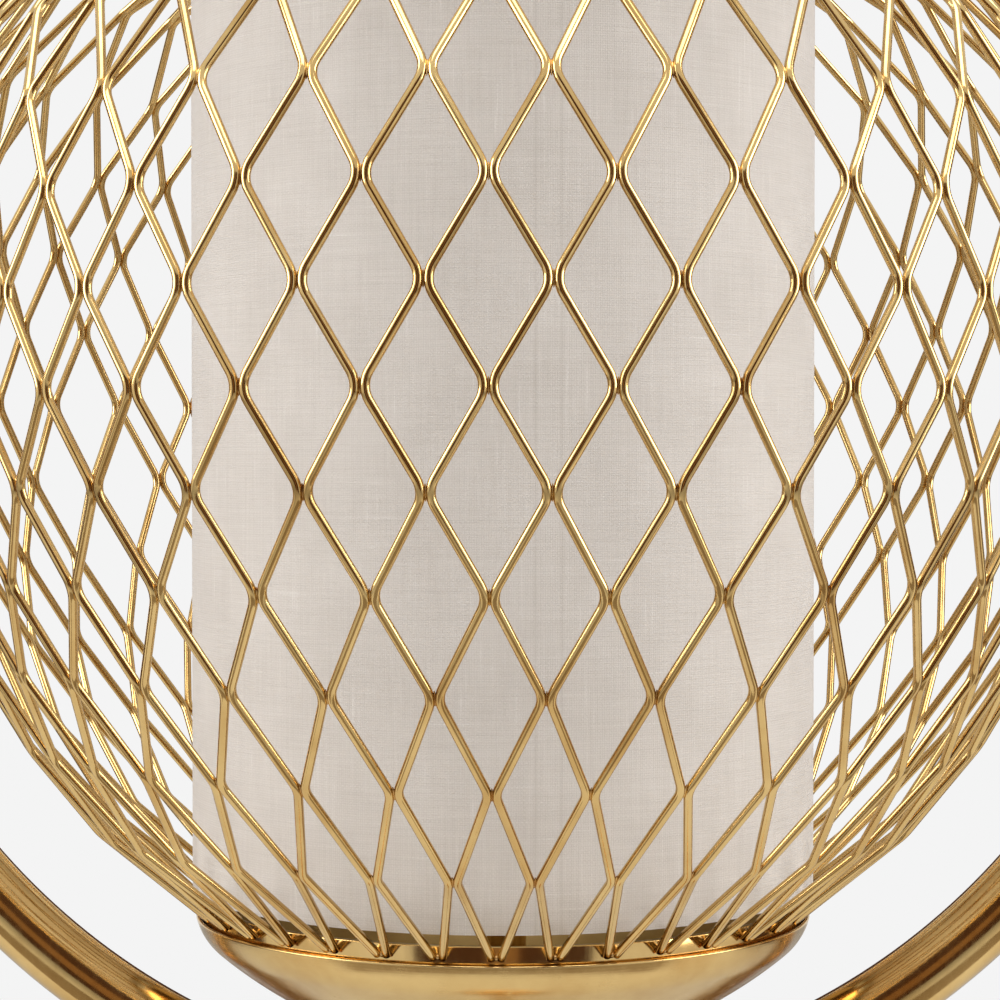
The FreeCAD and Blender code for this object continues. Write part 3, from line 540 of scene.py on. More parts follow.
def rounded(
    mesh: bmesh.types.BMesh,
    geometry: Sequence[bmesh.types.BMVert] | Sequence[bmesh.types.BMEdge],
    radius: float,
    segments: int,
    affect: str = "VERTICES",
) -> bmesh.types.BMesh:
    """Round some corners of a section, or some edges of a skin.

    Args:
        mesh: The section or skin.
        geometry: Its corners or its edges.
        radius: Size of the rounding.
        segments: Chords across it.
        affect: VERTICES for corners, EDGES for edges.

    Returns:
        The same mesh.
    """
    bmesh.ops.bevel(
        mesh,
        geom=geometry,
        offset=radius,
        offset_type="OFFSET",
        segments=segments,
        profile=0.5,
        affect=affect,
        clamp_overlap=True,
        material=-1,
    )
    return mesh


def eased(mesh: bmesh.types.BMesh, radius: float, segments: int = 3) -> bmesh.types.BMesh:
    """Round every corner of a section that two edges share."""
    corners = [spot for spot in mesh.verts if len(spot.link_edges) == 2]
    return rounded(mesh, corners, radius, segments)


def spun(mesh: bmesh.types.BMesh, steps: int, axis: Vector = UP) -> bmesh.types.BMesh:
    """Turn a section once round an axis through the origin and close what it makes.

    Args:
        mesh: The section.
        steps: Faces round the turn.
        axis: Direction of the axis.

    Returns:
        The same mesh, as a closed skin that faces outwards.
    """
    bmesh.ops.spin(
        mesh,
        geom=mesh.verts[:] + mesh.edges[:],
        cent=(0.0, 0.0, 0.0),
        axis=axis,
        dvec=(0.0, 0.0, 0.0),
        angle=FULL_TURN,
        steps=steps,
        use_merge=True,
    )
    bmesh.ops.remove_doubles(mesh, verts=mesh.verts, dist=MERGE)
    bmesh.ops.recalc_face_normals(mesh, faces=mesh.faces)
    return mesh


def absorb(mesh: bmesh.types.BMesh, other: bmesh.types.BMesh) -> None:
    """Put another mesh into the first and free it."""
    carrier = filed(other, "carrier")
    mesh.from_mesh(carrier)
    bpy.data.meshes.remove(carrier)


def moved(mesh: bmesh.types.BMesh, y: float = 0.0, z: float = 0.0) -> bmesh.types.BMesh:
    """Move a whole mesh backwards and up."""
    bmesh.ops.translate(mesh, verts=mesh.verts, vec=(0.0, y, z))
    return mesh


def arc(middle: Corner, radius: float, start: float, end: float, steps: int) -> list[Corner]:
    """Give points along an arc of a section.

    Args:
        middle: Radius and height of its centre.
        radius: Its own radius.
        start: First angle, in radians from straight outwards towards +Z.
        end: Last angle.
        steps: Number of chords.

    Returns:
        The points, both ends among them.
    """
    across, up = middle
    angles = [start + (end - start) * step / steps for step in range(steps + 1)]
    return [(across + radius * math.cos(angle), up + radius * math.sin(angle)) for angle in angles]


def tube_wall(inside: float, outside: float, low: float, high: float) -> list[Corner]:
    """Give the four corners of a ring's section."""
    return [(inside, low), (outside, low), (outside, high), (inside, high)]


@dataclass
class Station:
    """A place on a wire's middle line and the way it runs there."""

    spot: Vector
    way: Vector


def swept(path: Sequence[Station], radius: float, sides: int) -> bmesh.types.BMesh:
    """Draw a round bar along a path.

    Args:
        path: Stations along its middle line.
        radius: The bar's radius.
        sides: Faces round it.

    Returns:
        The bar, with flat closed ends.
    """
    mesh = bmesh.new()
    first = path[0]
    turn = UP.rotation_difference(first.way).to_matrix().to_4x4()
    place = Matrix.Translation(first.spot) @ turn
    bmesh.ops.create_circle(mesh, cap_ends=False, segments=sides, radius=radius, matrix=place)
    start = edges = mesh.edges[:]
    for back, ahead in zip(path, path[1:]):
        made = bmesh.ops.extrude_edge_only(mesh, edges=edges)["geom"]
        rim = [item for item in made if isinstance(item, bmesh.types.BMVert)]
        edges = [item for item in made if isinstance(item, bmesh.types.BMEdge)]
        edges = [edge for edge in edges if edge.verts[0] in rim and edge.verts[1] in rim]
        twist = back.way.rotation_difference(ahead.way).to_matrix().to_4x4()
        step = Matrix.Translation(ahead.spot) @ twist @ Matrix.Translation(-back.spot)
        bmesh.ops.transform(mesh, matrix=step, verts=rim)
    for end in (start, edges):
        bmesh.ops.edgeloop_fill(mesh, edges=end)
    bmesh.ops.recalc_face_normals(mesh, faces=mesh.faces)
    return mesh


# ---------------------------------------------------------------- sub-assemblies


@dataclass
class Assembly:
    """What every sub-assembly shares: it keeps its meshes as pieces and dresses them.

    Attributes:
        paints: Material for each finish.
        body: The CAD body its pieces ride on.
        sharp: Angle past which an edge stays crisp, in radians.
        flat: Angle under which two faces become one, in radians.
    """

    paints: dict[str, bpy.types.Material]
    body: str = "lamp"
    sharp: float = math.radians(38.0)
    flat: float = math.radians(0.6)

    def keep(
        self,
        mesh: bmesh.types.BMesh,
        name: str,
        slot: str,
        stands_for: Sequence[str] = (),
        extra: Sequence[str] = (),
        body: str | None = None,
    ) -> bpy.types.Object:
        """Turn a mesh into a finished piece.

        Args:
            mesh: Its shape, in place. It is freed here.
            name: The piece's name.
            slot: Finish and material slot.
            stands_for: CAD nodes it replaces.
            extra: Further finishes that its faces may use.
            body: CAD body, where it isn't the assembly's own.

        Returns:
            The piece.
        """
        for face in mesh.faces:
            face.smooth = True
        for edge in mesh.edges:
            edge.smooth = edge.calc_face_angle(0.0) < self.sharp
        data = filed(mesh, name)
        for finish in (slot, *extra):
            data.materials.append(self.paints[finish])
        piece = linked(name, data)
        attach(piece, body or self.body)
        if stands_for:
            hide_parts(*stands_for)
        log.info("%s: %d faces, %s", name, len(data.polygons), slot)
        return piece

    def faired(
        self,
        node: str,
        slot: str,
        ease: float = 0.0,
        body: str | None = None,
        name: str | None = None,
    ) -> None:
        """Replace a CAD node by a smooth copy of itself with eased edges.

        Args:
            node: The CAD node.
            slot: Finish and material slot.
            ease: Width of the bevel along crisp edges.
            body: CAD body, where it isn't the assembly's own.
            name: The copy's name, where it isn't the node's with _skin.
        """
        mesh = bmesh.new()
        mesh.from_mesh(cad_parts[node].data)
        bmesh.ops.remove_doubles(mesh, verts=mesh.verts, dist=MERGE)
        if ease:
            bmesh.ops.dissolve_limit(
                mesh, angle_limit=self.flat, verts=mesh.verts, edges=mesh.edges
            )
            crisp = [edge for edge in mesh.edges if edge.calc_face_angle(0.0) > self.sharp]
            rounded(mesh, crisp, ease, 2, "EDGES")
        self.keep(mesh, name or node + "_skin", slot, [node], body=body)

    def dress(self, *nodes: str) -> None:
        """Give hidden CAD nodes the finish that their record slot names."""
        for node in nodes:
            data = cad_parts[node].data
            for index, old in enumerate(data.materials):
                data.materials[index] = self.paints[old.name.split(".")[0]]
            log.info("%s: solid of the frame, dressed", node)

    def build(self) -> None:
        """Build and dress every piece."""
        raise NotImplementedError


@dataclass
class Base(Assembly):
    """The round base: spun cover, rubber pad, cord inlet and the collar at the pole's foot.

    Attributes:
        steps: Faces round the collar.
        collar_ease: Rounding of its edges.
        collar_ledge: Width of its hollow ledge.
        collar_edge: Height of its straight lower edge.
        collar_top: Height of its straight upper edge.
        collar_start: Where the hollow begins, in radians.
    """

    steps: int = 96
    collar_ease: float = 0.0007
    collar_ledge: float = 0.0054
    collar_edge: float = 0.0045
    collar_top: float = 0.0028
    collar_start: float = math.pi * 1.42

    def build(self) -> None:
        """Build and dress every piece of the base."""
        self.faired("base_cover", "spun_brass")
        self.faired("base_pad", "black_rubber", WIDE_EASE)
        self.faired("cord_inlet", "black_rubber", EASE)
        low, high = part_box("foot_collar")
        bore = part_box("pole_lower")[1].x
        corners = [(bore, low.z), (high.x, low.z), (high.x, low.z + self.collar_edge)]
        hollow = (high.x, high.z - self.collar_top)
        corners += arc(hollow, self.collar_ledge, self.collar_start, math.pi, 6)
        corners += [(high.x - self.collar_ledge, high.z), (bore, high.z)]
        mesh = spun(eased(outline(corners), self.collar_ease), self.steps)
        self.keep(mesh, "collar_at_foot", "polished_brass", ["foot_collar"])
        self.dress("base_weight", "foot_stud", "foot_washer", "foot_nut")


@dataclass
class FootSwitch(Assembly):
    """The foot switch: rim, button with grip rings, and what is under them.

    Attributes:
        steps: Faces round a grip ring.
        crown: Radius of the button's domed top.
        dome: Height of the dome.
        rings: Number of grip rings on it.
        first_ring: Radius of the innermost ring, as a share of the crown.
        ring_pitch: Distance between rings, as a share of the crown.
        ring_size: Half the width of a ring's foot.
    """

    steps: int = 72
    crown: float = 0.0109
    dome: float = 0.003
    rings: int = 4
    first_ring: float = 0.30
    ring_pitch: float = 0.17
    ring_size: float = 0.00045

    def build(self) -> None:
        """Build and dress every piece of the switch."""
        self.faired("switch_bush", "polished_brass", EASE)
        self.dress("switch_nut", "switch_housing", "switch_bridge")
        self.dress("switch_terminals", "switch_spring")
        self.faired("foot_button", "polished_brass", body="foot_button", name="button_stem")
        for number in range(self.rings):
            self.grip_ring(number)

    def grip_ring(self, number: int) -> None:
        """Build one ring on the button's dome.

        Args:
            number: Its number, counted from the middle.
        """
        low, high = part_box("foot_button")
        sphere = (self.crown**2 + self.dome**2) / (2.0 * self.dome)
        place = self.crown * (self.first_ring + self.ring_pitch * number)
        top = high.z - sphere + math.sqrt(sphere**2 - place**2)
        foot = top - 1.6 * self.ring_size
        narrow = 0.4 * self.ring_size
        corners = [
            (place - self.ring_size, foot),
            (place + self.ring_size, foot),
            (place + narrow, top),
            (place - narrow, top),
        ]
        ring = spun(eased(outline(corners), 0.2 * self.ring_size, 1), self.steps)
        moved(ring, y=(low.y + high.y) / 2.0)
        self.keep(ring, f"button_ring_{number + 1}", "polished_brass", body="foot_button")


@dataclass
class Pole(Assembly):
    """The pole's two tubes and the knurled ring between them.

    Attributes:
        wall: Wall of the tubes.
        steps: Faces round a tube.
        ring_ease: Rounding of the ring's edges.
        flutes: Grooves round the ring.
        flute_depth: Depth of a groove.
        flute_rim: Width of its sloping side.
    """

    wall: float = 0.0015
    steps: int = 64
    ring_ease: float = 0.0008
    flutes: int = 60
    flute_depth: float = 0.0003
    flute_rim: float = 0.00012

    def build(self) -> None:
        """Build and dress every piece of the pole."""
        for node in ("pole_lower", "pole_upper"):
            low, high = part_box(node)
            section = eased(outline(tube_wall(high.x - self.wall, high.x, low.z, high.z)), EASE, 2)
            self.keep(spun(section, self.steps), node + "_tube", "polished_brass", [node])
        low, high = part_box("joint_ring")
        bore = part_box("joint_stud")[1].x
        section = eased(outline(tube_wall(bore, high.x, low.z, high.z)), self.ring_ease)
        mesh = spun(section, self.flutes * 2)
        mesh.faces.ensure_lookup_table()
        middle = (low.z + high.z) / 2.0
        side = [
            face
            for face in mesh.faces
            if abs(face.calc_center_median().z - middle) < MERGE * 10
            and face.calc_center_median().xy.length > bore * 1.2
        ]
        bmesh.ops.inset_individual(
            mesh,
            faces=side[::2],
            thickness=self.flute_rim,
            depth=-self.flute_depth,
            use_even_offset=True,
        )
        self.keep(mesh, "knurled_ring", "polished_brass", ["joint_ring"])
        self.dress("joint_stud")


@dataclass
class Hoop(Assembly):
    """The upright hoop of bent tube, with the saddle under it and the neck on it.

    Attributes:
        around: Faces round the hoop.
        across: Faces round its tube.
    """

    around: int = 288
    across: int = 40

    def build(self) -> None:
        """Build and dress the hoop and what clamps it."""
        low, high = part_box("hoop")
        tube = high.y
        middle = min(high.x, (high.z - low.z) / 2.0) - tube
        mesh = bmesh.new()
        place = Matrix.Translation((middle, 0.0, 0.0))
        bmesh.ops.create_circle(
            mesh, cap_ends=False, segments=self.across, radius=tube, matrix=place
        )
        mesh = spun(mesh, self.around, Vector((0.0, 1.0, 0.0)))
        self.keep(moved(mesh, z=(low.z + high.z) / 2.0), "bent_hoop", "polished_brass", ["hoop"])
        self.faired("hoop_saddle", "polished_brass", EASE)
        self.faired("dish_neck", "polished_brass", EASE)
        self.dress("hoop_spacer", "head_stem")


@dataclass
class Dish(Assembly):
    """The spun dish under the cage, with the washer, nut and riser in it.

    Attributes:
        wall: Thickness of its sheet.
        bottom_arc: Radius of its bottom.
        corner_arc: Radius of its turned-up side.
        hole: Radius of the hole for the stem.
        lip_ease: Rounding of its lip.
        steps: Faces round it.
        bottom_steps: Chords across half its bottom.
        corner_steps: Chords up its side.
    """

    wall: float = 0.0013
    bottom_arc: float = 0.150
    corner_arc: float = 0.020
    hole: float = 0.0053
    lip_ease: float = 0.00055
    steps: int = 240
    bottom_steps: int = 34
    corner_steps: int = 16

    def build(self) -> None:
        """Build and dress the dish and its fixings."""
        low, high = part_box("dish")
        centre = (0.0, low.z + self.bottom_arc - self.sag())
        side = high.x - self.corner_arc
        fall = math.sqrt((self.bottom_arc - self.corner_arc) ** 2 - side**2)
        corner = (side, centre[1] - fall)
        lean = math.atan2(-fall, side)
        lip = math.asin((high.z - corner[1]) / self.corner_arc)
        lip_inside = math.asin((high.z - corner[1]) / (self.corner_arc - self.wall))
        start = -math.acos(self.hole / self.bottom_arc)
        start_inside = -math.acos(self.hole / (self.bottom_arc - self.wall))
        outside = arc(centre, self.bottom_arc, start, lean, self.bottom_steps)[:-1]
        outside += arc(corner, self.corner_arc, lean, lip, self.corner_steps)
        inner_corner, inner_bottom = self.corner_arc - self.wall, self.bottom_arc - self.wall
        inside = arc(corner, inner_corner, lip_inside, lean, self.corner_steps)[:-1]
        inside += arc(centre, inner_bottom, lean, start_inside, self.bottom_steps)
        mesh = outline(outside + inside)
        lips = [spot for spot in mesh.verts if abs(spot.co.z - high.z) < MERGE]
        mesh = spun(rounded(mesh, lips, self.lip_ease, 4), self.steps)
        self.keep(mesh, "spun_dish", "spun_brass", ["dish"])
        self.faired("dish_washer", "zinc_steel", FINE_EASE)
        self.faired("dish_nut", "zinc_steel", EASE)
        self.faired("holder_riser", "polished_brass", EASE)

    def sag(self) -> float:
        """Give the rise of the bottom from the middle to the edge of its hole."""
        return self.bottom_arc - math.sqrt(self.bottom_arc**2 - self.hole**2)


@dataclass
class Cage(Assembly):
    """The zigzag wires, their brazed joints and the bands at both ends.

    Attributes:
        radius: The wires' middle line at the cage's widest level.
        widest_rise: Widest level over the cage's middle level.
        crown_reach: Widest level to where the upper wires would close.
        crown_fullness: Roundness of the upper part, 2 for an ellipse.
        foot_radius: The wires' middle line at the foot band.
        wire: Diameter of the wire.
        columns: Joints round one level.
        below: Steps from the equator to the foot band.
        above: Whole steps above the equator.
        turn: Turn of the lattice from the front, in radians.
        bend: Radius of a bend of the middle line.
        touch: Gap between two wires at a joint.
        band_rise: How far the foot band reaches past the wires' ends.
        mouth_rise: How far the mouth band stands out past them.
        band_wall: Thickness of the two bands.
        band_ease: Rounding of their edges.
        band_steps: Faces round them.
        sides: Faces round a wire.
        bend_steps: Chords along a bend.
        groups: Pieces that the wires are shared out to.
        bead: Half sizes of a fillet of braze, along the level, outwards and upwards.
        foot_bead: The same at the two bands.
    """

    radius: float = 0.200
    widest_rise: float = 0.017
    crown_reach: float = 0.165
    crown_fullness: float = 2.6
    foot_radius: float = 0.1027
    wire: float = 0.0028
    columns: int = 36
    below: int = 6
    above: int = 5
    turn: float = math.radians(-1.17)
    bend: float = 0.008
    touch: float = 0.0001
    band_rise: float = 0.0034
    mouth_rise: float = 0.005
    band_wall: float = 0.0022
    band_ease: float = 0.0005
    band_steps: int = 216
    sides: int = 16
    bend_steps: int = 7
    groups: int = 12
    bead: Vector = field(default_factory=lambda: Vector((0.0004, 0.0005, 0.0026)))
    foot_bead: Vector = field(default_factory=lambda: Vector((0.0014, 0.0009, 0.0011)))

    PULL_ROUNDS = 4
    SLOPE_STEP = 0.001

    @cached_property
    def foot_level(self) -> float:
        """Height of the wires' lower ends."""
        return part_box("cage_foot_band")[1].z - self.band_rise

    @property
    def depth(self) -> float:
        """Foot of the wires below the cage's middle level."""
        return math.sqrt(self.radius**2 - self.foot_radius**2)

    @cached_property
    def equator(self) -> float:
        """Height of the cage's middle level."""
        return self.foot_level + self.depth

    @cached_property
    def heights(self) -> list[float]:
        """Height of every level over the equator, from foot to mouth."""
        pitch = self.depth / self.below
        levels = [(level - self.below) * pitch for level in range(self.below + self.above + 1)]
        return levels + [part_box("cage_mouth_band")[1].z - self.mouth_rise - self.equator]

    @cached_property
    def bowl_reach(self) -> float:
        """Widest level to where the lower wires would close."""
        foot_share = self.foot_radius / self.radius
        return (self.depth + self.widest_rise) / math.sqrt(1.0 - foot_share**2)

    def girth(self, height: float) -> float:
        """Give the radius of the wires' middle line.

        Args:
            height: Height over the cage's middle level.

        Returns:
            The radius there.
        """
        climb = height - self.widest_rise
        upper = climb > 0.0
        power, reach = (self.crown_fullness, self.crown_reach) if upper else (2.0, self.bowl_reach)
        return self.radius * (1.0 - (abs(climb) / reach) ** power) ** (1.0 / power)

    @property
    def half_pitch(self) -> float:
        """Angle of one strip between two meridians."""
        return math.pi / self.columns

    def on_left(self, level: int, strip: int) -> bool:
        """Tell whether a strip's wire is at its left meridian on a level."""
        return (level - self.below - strip) % 2 == 0

    def corners(self, strip: int) -> list[Vector]:
        """Give the corners of one zigzag wire.

        Args:
            strip: Which strip between two meridians it fills.

        Returns:
            Its corners from foot to mouth, drawn towards the joints so that the bends touch.
        """
        heights = self.heights
        reach = self.wire / 2.0 + self.touch / 2.0
        pulls = [0.0 for _ in heights]

        def corner(level: int) -> Vector:
            """Place one corner."""
            around = self.girth(heights[level])
            left = self.on_left(level, strip)
            inset = (reach - pulls[level]) / around
            angle = self.turn + self.half_pitch * (strip + (0 if left else 1))
            angle += inset if left else -inset
            height = self.equator + heights[level]
            return Vector((around * math.sin(angle), -around * math.cos(angle), height))

        for _ in range(self.PULL_ROUNDS):
            spots = [corner(level) for level in range(len(heights))]
            for level in range(1, len(heights) - 1):
                half = self.half_turn(*spots[level - 1 : level + 2])
                pulls[level] = self.bend * (1.0 / math.cos(half) - 1.0)
        return [corner(level) for level in range(len(heights))]

    @staticmethod
    def half_turn(before: Vector, spot: Vector, after: Vector) -> float:
        """Give half the angle by which a path turns at a corner."""
        return (after - spot).angle(spot - before) / 2.0

    def path(self, strip: int) -> list[Station]:
        """Give the middle line of one wire, with a round bend at every inner corner.

        Args:
            strip: Which strip between two meridians it fills.

        Returns:
            Stations from foot to mouth.
        """
        corners = self.corners(strip)
        stations = [Station(corners[0], (corners[1] - corners[0]).normalized())]
        for before, spot, after in zip(corners, corners[1:], corners[2:]):
            way_in, way_out = (spot - before).normalized(), (after - spot).normalized()
            half = self.half_turn(before, spot, after)
            axis = way_in.cross(way_out).normalized()
            start = spot - way_in * self.bend * math.tan(half)
            inward = (way_out - way_in).normalized()
            centre = spot + inward * self.bend / math.cos(half)
            for step in range(self.bend_steps + 1):
                turn = Matrix.Rotation(2.0 * half * step / self.bend_steps, 3, axis)
                stations.append(Station(centre + turn @ (start - centre), turn @ way_in))
        stations.append(Station(corners[-1], (corners[-1] - corners[-2]).normalized()))
        return stations

    def joint(self, level: int, strip: int) -> Matrix:
        """Place a joint on a strip's left meridian.

        Args:
            level: Its level, counted from the foot.
            strip: The strip.

        Returns:
            Its place, with axes along the level, outwards and upwards.
        """
        height = self.heights[level]
        angle = self.turn + self.half_pitch * strip
        around, step = self.girth(height), self.SLOPE_STEP
        slope = (self.girth(height + step) - self.girth(height - step)) / (2.0 * step)
        radial = Vector((math.sin(angle), -math.cos(angle), 0.0))
        along = Vector((math.cos(angle), math.sin(angle), 0.0))
        outward = (radial - UP * slope).normalized()
        matrix = Matrix((along, outward, along.cross(outward))).transposed().to_4x4()
        return Matrix.Translation(radial * around + UP * (self.equator + height)) @ matrix

    def build(self) -> None:
        """Build and dress the wires and the bands."""
        masters = [
            filed(swept(self.path(strip), self.wire / 2.0, self.sides), f"wire_master_{strip}")
            for strip in (0, 1)
        ]
        strips = 2 * self.columns // self.groups
        for group in range(self.groups):
            mesh = bmesh.new()
            for strip in range(group * strips, (group + 1) * strips):
                known = len(mesh.verts)
                mesh.from_mesh(masters[strip % 2])
                mesh.verts.ensure_lookup_table()
                turn = Matrix.Rotation(2.0 * self.half_pitch * (strip // 2), 3, "Z")
                bmesh.ops.rotate(mesh, cent=(0.0, 0.0, 0.0), matrix=turn, verts=mesh.verts[known:])
            absorb(mesh, self.braze(range(group * strips, (group + 1) * strips)))
            name = f"cage_wires_{group + 1:02d}"
            self.keep(mesh, f"zigzag_wires_{group + 1:02d}", "polished_brass", [name], ["braze"])
        for data in masters:
            bpy.data.meshes.remove(data)
        for end in ("foot", "mouth"):
            node, name = f"cage_{end}_band", f"band_at_{end}"
            low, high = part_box(node)
            section = outline(tube_wall(high.x - self.band_wall, high.x, low.z, high.z))
            mesh = spun(eased(section, self.band_ease), self.band_steps)
            self.keep(mesh, name, "polished_brass", [node])

    def braze(self, strips: Iterable[int]) -> bmesh.types.BMesh:
        """Make the small fillets of braze at the joints on the left of some strips.

        Args:
            strips: The strips.

        Returns:
            All their fillets in one mesh.
        """
        mesh = bmesh.new()
        last = len(self.heights) - 1
        for strip in strips:
            for level in range(last + 1):
                if self.on_left(level, strip):
                    size = self.foot_bead if level in (0, last) else self.bead
                    shape = self.joint(level, strip) @ Matrix.Diagonal((*size, 1.0))
                    bmesh.ops.create_uvsphere(
                        mesh, u_segments=8, v_segments=6, radius=1.0, matrix=shape
                    )
        for face in mesh.faces:
            face.material_index = 1
        return mesh


@dataclass
class Shade(Assembly):
    """The linen drum on its liner, with hem rings, spider and clamp rings.

    Attributes:
        linen: Thickness of the linen.
        linen_ease: Rounding of its edges.
        liner: Thickness of the liner.
        liner_ease: Rounding of its edges.
        hem: Diameter of the hem wires.
        steps: Faces round the linen.
        liner_steps: Faces round the liner.
        hem_steps: Faces round a hem ring.
        hem_sides: Faces round its wire.
        rows: Cuts up the linen.
    """

    linen: float = 0.0006
    linen_ease: float = 0.00028
    liner: float = 0.0005
    liner_ease: float = 0.00015
    hem: float = 0.003
    steps: int = 288
    liner_steps: int = 192
    hem_steps: int = 144
    hem_sides: int = 16
    rows: int = 24

    def build(self) -> None:
        """Build and dress the shade."""
        self.cover()
        low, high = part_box("shade_liner")
        section = outline(tube_wall(high.x - self.liner, high.x, low.z, high.z))
        mesh = spun(eased(section, self.liner_ease, 2), self.liner_steps)
        self.keep(mesh, "stiff_liner", "liner", ["shade_liner"])
        for node in ("hem_ring_low", "hem_ring_high"):
            low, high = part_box(node)
            mesh = bmesh.new()
            thick = self.hem / 2.0
            place = Matrix.Translation((high.x - thick, 0.0, (low.z + high.z) / 2.0))
            place = place @ Matrix.Rotation(math.pi / 2.0, 4, "X")
            bmesh.ops.create_circle(
                mesh, cap_ends=False, segments=self.hem_sides, radius=thick, matrix=place
            )
            self.keep(spun(mesh, self.hem_steps), node + "_wire", "white_lacquer", [node])
        self.faired("shade_spider", "white_lacquer", FINE_EASE)
        for node in ("clamp_ring_low", "clamp_ring_high"):
            self.faired(node, "black_moulding", WIDE_EASE)

    def cover(self) -> None:
        """Build the linen: one length of cloth round the drum, with its own flat map."""
        low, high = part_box("shade_linen")
        outside = high.x
        inside = outside - self.linen
        mesh = eased(outline(tube_wall(inside, outside, low.z, high.z)), self.linen_ease, 2)
        longest = [edge for edge in mesh.edges if edge.calc_length() > 0.1]
        bmesh.ops.subdivide_edges(mesh, edges=longest, cuts=self.rows)
        mesh = spun(mesh, self.steps)
        cloth = mesh.loops.layers.uv.new(Linen.MAP)
        for face in mesh.faces:
            centre = face.calc_center_median()
            main = math.atan2(centre.x, -centre.y)
            for loop in face.loops:
                spot = loop.vert.co
                angle = math.atan2(spot.x, -spot.y)
                if angle - main > math.pi:
                    angle -= FULL_TURN
                elif main - angle > math.pi:
                    angle += FULL_TURN
                loop[cloth].uv = ((angle + math.pi) * outside, spot.z - low.z)
        piece = self.keep(mesh, "linen_cover", "linen", ["shade_linen"])


@dataclass
class Lampholder(Assembly):
    """The lampholder on the riser, and the lead to it."""

    def build(self) -> None:
        """Build and dress the lampholder."""
        self.faired("holder_cap", "polished_brass", EASE)
        self.faired("holder_insert", "white_ceramic", EASE)
        self.faired("holder_shell", "black_moulding", EASE)
        self.faired("holder_sleeve", "contact_brass")
        self.faired("holder_contact", "contact_brass", FINE_EASE)
        self.dress("inner_lead")


@dataclass
class Bulb(Assembly):
    """The bulb, whose glass, cap and tip turn out of the lampholder.

    Attributes:
        thread: Rise of the screw thread in one turn.
        thread_depth: Depth of the thread.
        wall: Wall of the screw cap.
        wave_steps: Chords along half a wave of the thread.
        steps: Faces round the cap.
    """

    body: str = "bulb"
    thread: float = 0.003629
    thread_depth: float = 0.0006
    wall: float = 0.0007
    wave_steps: int = 6
    steps: int = 64

    def build(self) -> None:
        """Build and dress the bulb."""
        self.faired("bulb_glass", "opal_glass")
        self.faired("bulb_tip", "bulb_insulator", body="bulb_thread")
        low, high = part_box("bulb_cap")
        waves = int((high.z - low.z) / self.thread)
        rows = 2 * waves * self.wave_steps
        corners: list[Corner] = []
        for row in range(rows + 1):
            fall = self.thread_depth * (0.5 + 0.5 * math.cos(FULL_TURN * waves * row / rows))
            corners.append((high.x - fall, low.z + (high.z - low.z) * row / rows))
        inner = high.x - self.wall - self.thread_depth
        corners += [(inner, high.z), (inner, low.z)]
        self.keep(spun(outline(corners), self.steps), "bulb_screw_cap", "bulb_metal", ["bulb_cap"])
        self.dress("bulb_post")


# ---------------------------------------------------------------- studio


@dataclass(frozen=True)
class Softbox:
    """A soft studio lamp.

    Attributes:
        name: Its name.
        place: Where it stands.
        aim: What it looks at.
        width: Width of its face.
        height: Height of its face.
        power: Its power in watts.
    """

    name: str
    place: Vector
    aim: Vector
    width: float
    height: float
    power: float

    def build(self) -> None:
        """Hang the lamp."""
        data = bpy.data.lights.new(self.name, "AREA")
        data.shape = "RECTANGLE"
        data.size, data.size_y = self.width, self.height
        data.energy = self.power
        lamp = linked(self.name, data)
        lamp.location = self.place
        lamp.rotation_euler = (self.aim - self.place).to_track_quat("-Z", "Y").to_euler()
        lamp.visible_camera = False


@dataclass(frozen=True)
class Flag:
    """A dark card bent round the lamp, which only polished metal shows.

    Attributes:
        name: Its name.
        bearing: Azimuth of its middle, in degrees.
        spread: Its width, in degrees.
        first: Distance from the lamp's axis and height of its one edge.
        second: The same of its other edge.
        tone: Its colour.
        steps: Chords round its bend.
    """

    name: str
    bearing: float
    spread: float
    first: Corner
    second: Corner
    tone: Colour = srgb(74, 44, 24)
    steps: int = 12

    def build(self) -> None:
        """Put the card up."""
        mesh = outline([self.first, self.second], closed=False)
        start = math.radians(self.bearing - self.spread / 2.0) - math.pi / 2.0
        turn = Matrix.Rotation(start, 3, "Z")
        bmesh.ops.rotate(mesh, cent=(0.0, 0.0, 0.0), matrix=turn, verts=mesh.verts)
        bmesh.ops.spin(
            mesh,
            geom=mesh.verts[:] + mesh.edges[:],
            cent=(0.0, 0.0, 0.0),
            axis=UP,
            dvec=(0.0, 0.0, 0.0),
            angle=math.radians(self.spread),
            steps=self.steps,
            use_merge=False,
        )
        data = filed(mesh, self.name)
        data.materials.append(Coating(f"{self.name}_cloth", self.tone, self.tone, 0.95).build())
        card = linked(self.name, data)
        card.visible_camera = card.visible_diffuse = card.visible_shadow = False
        card.visible_transmission = card.visible_volume_scatter = False


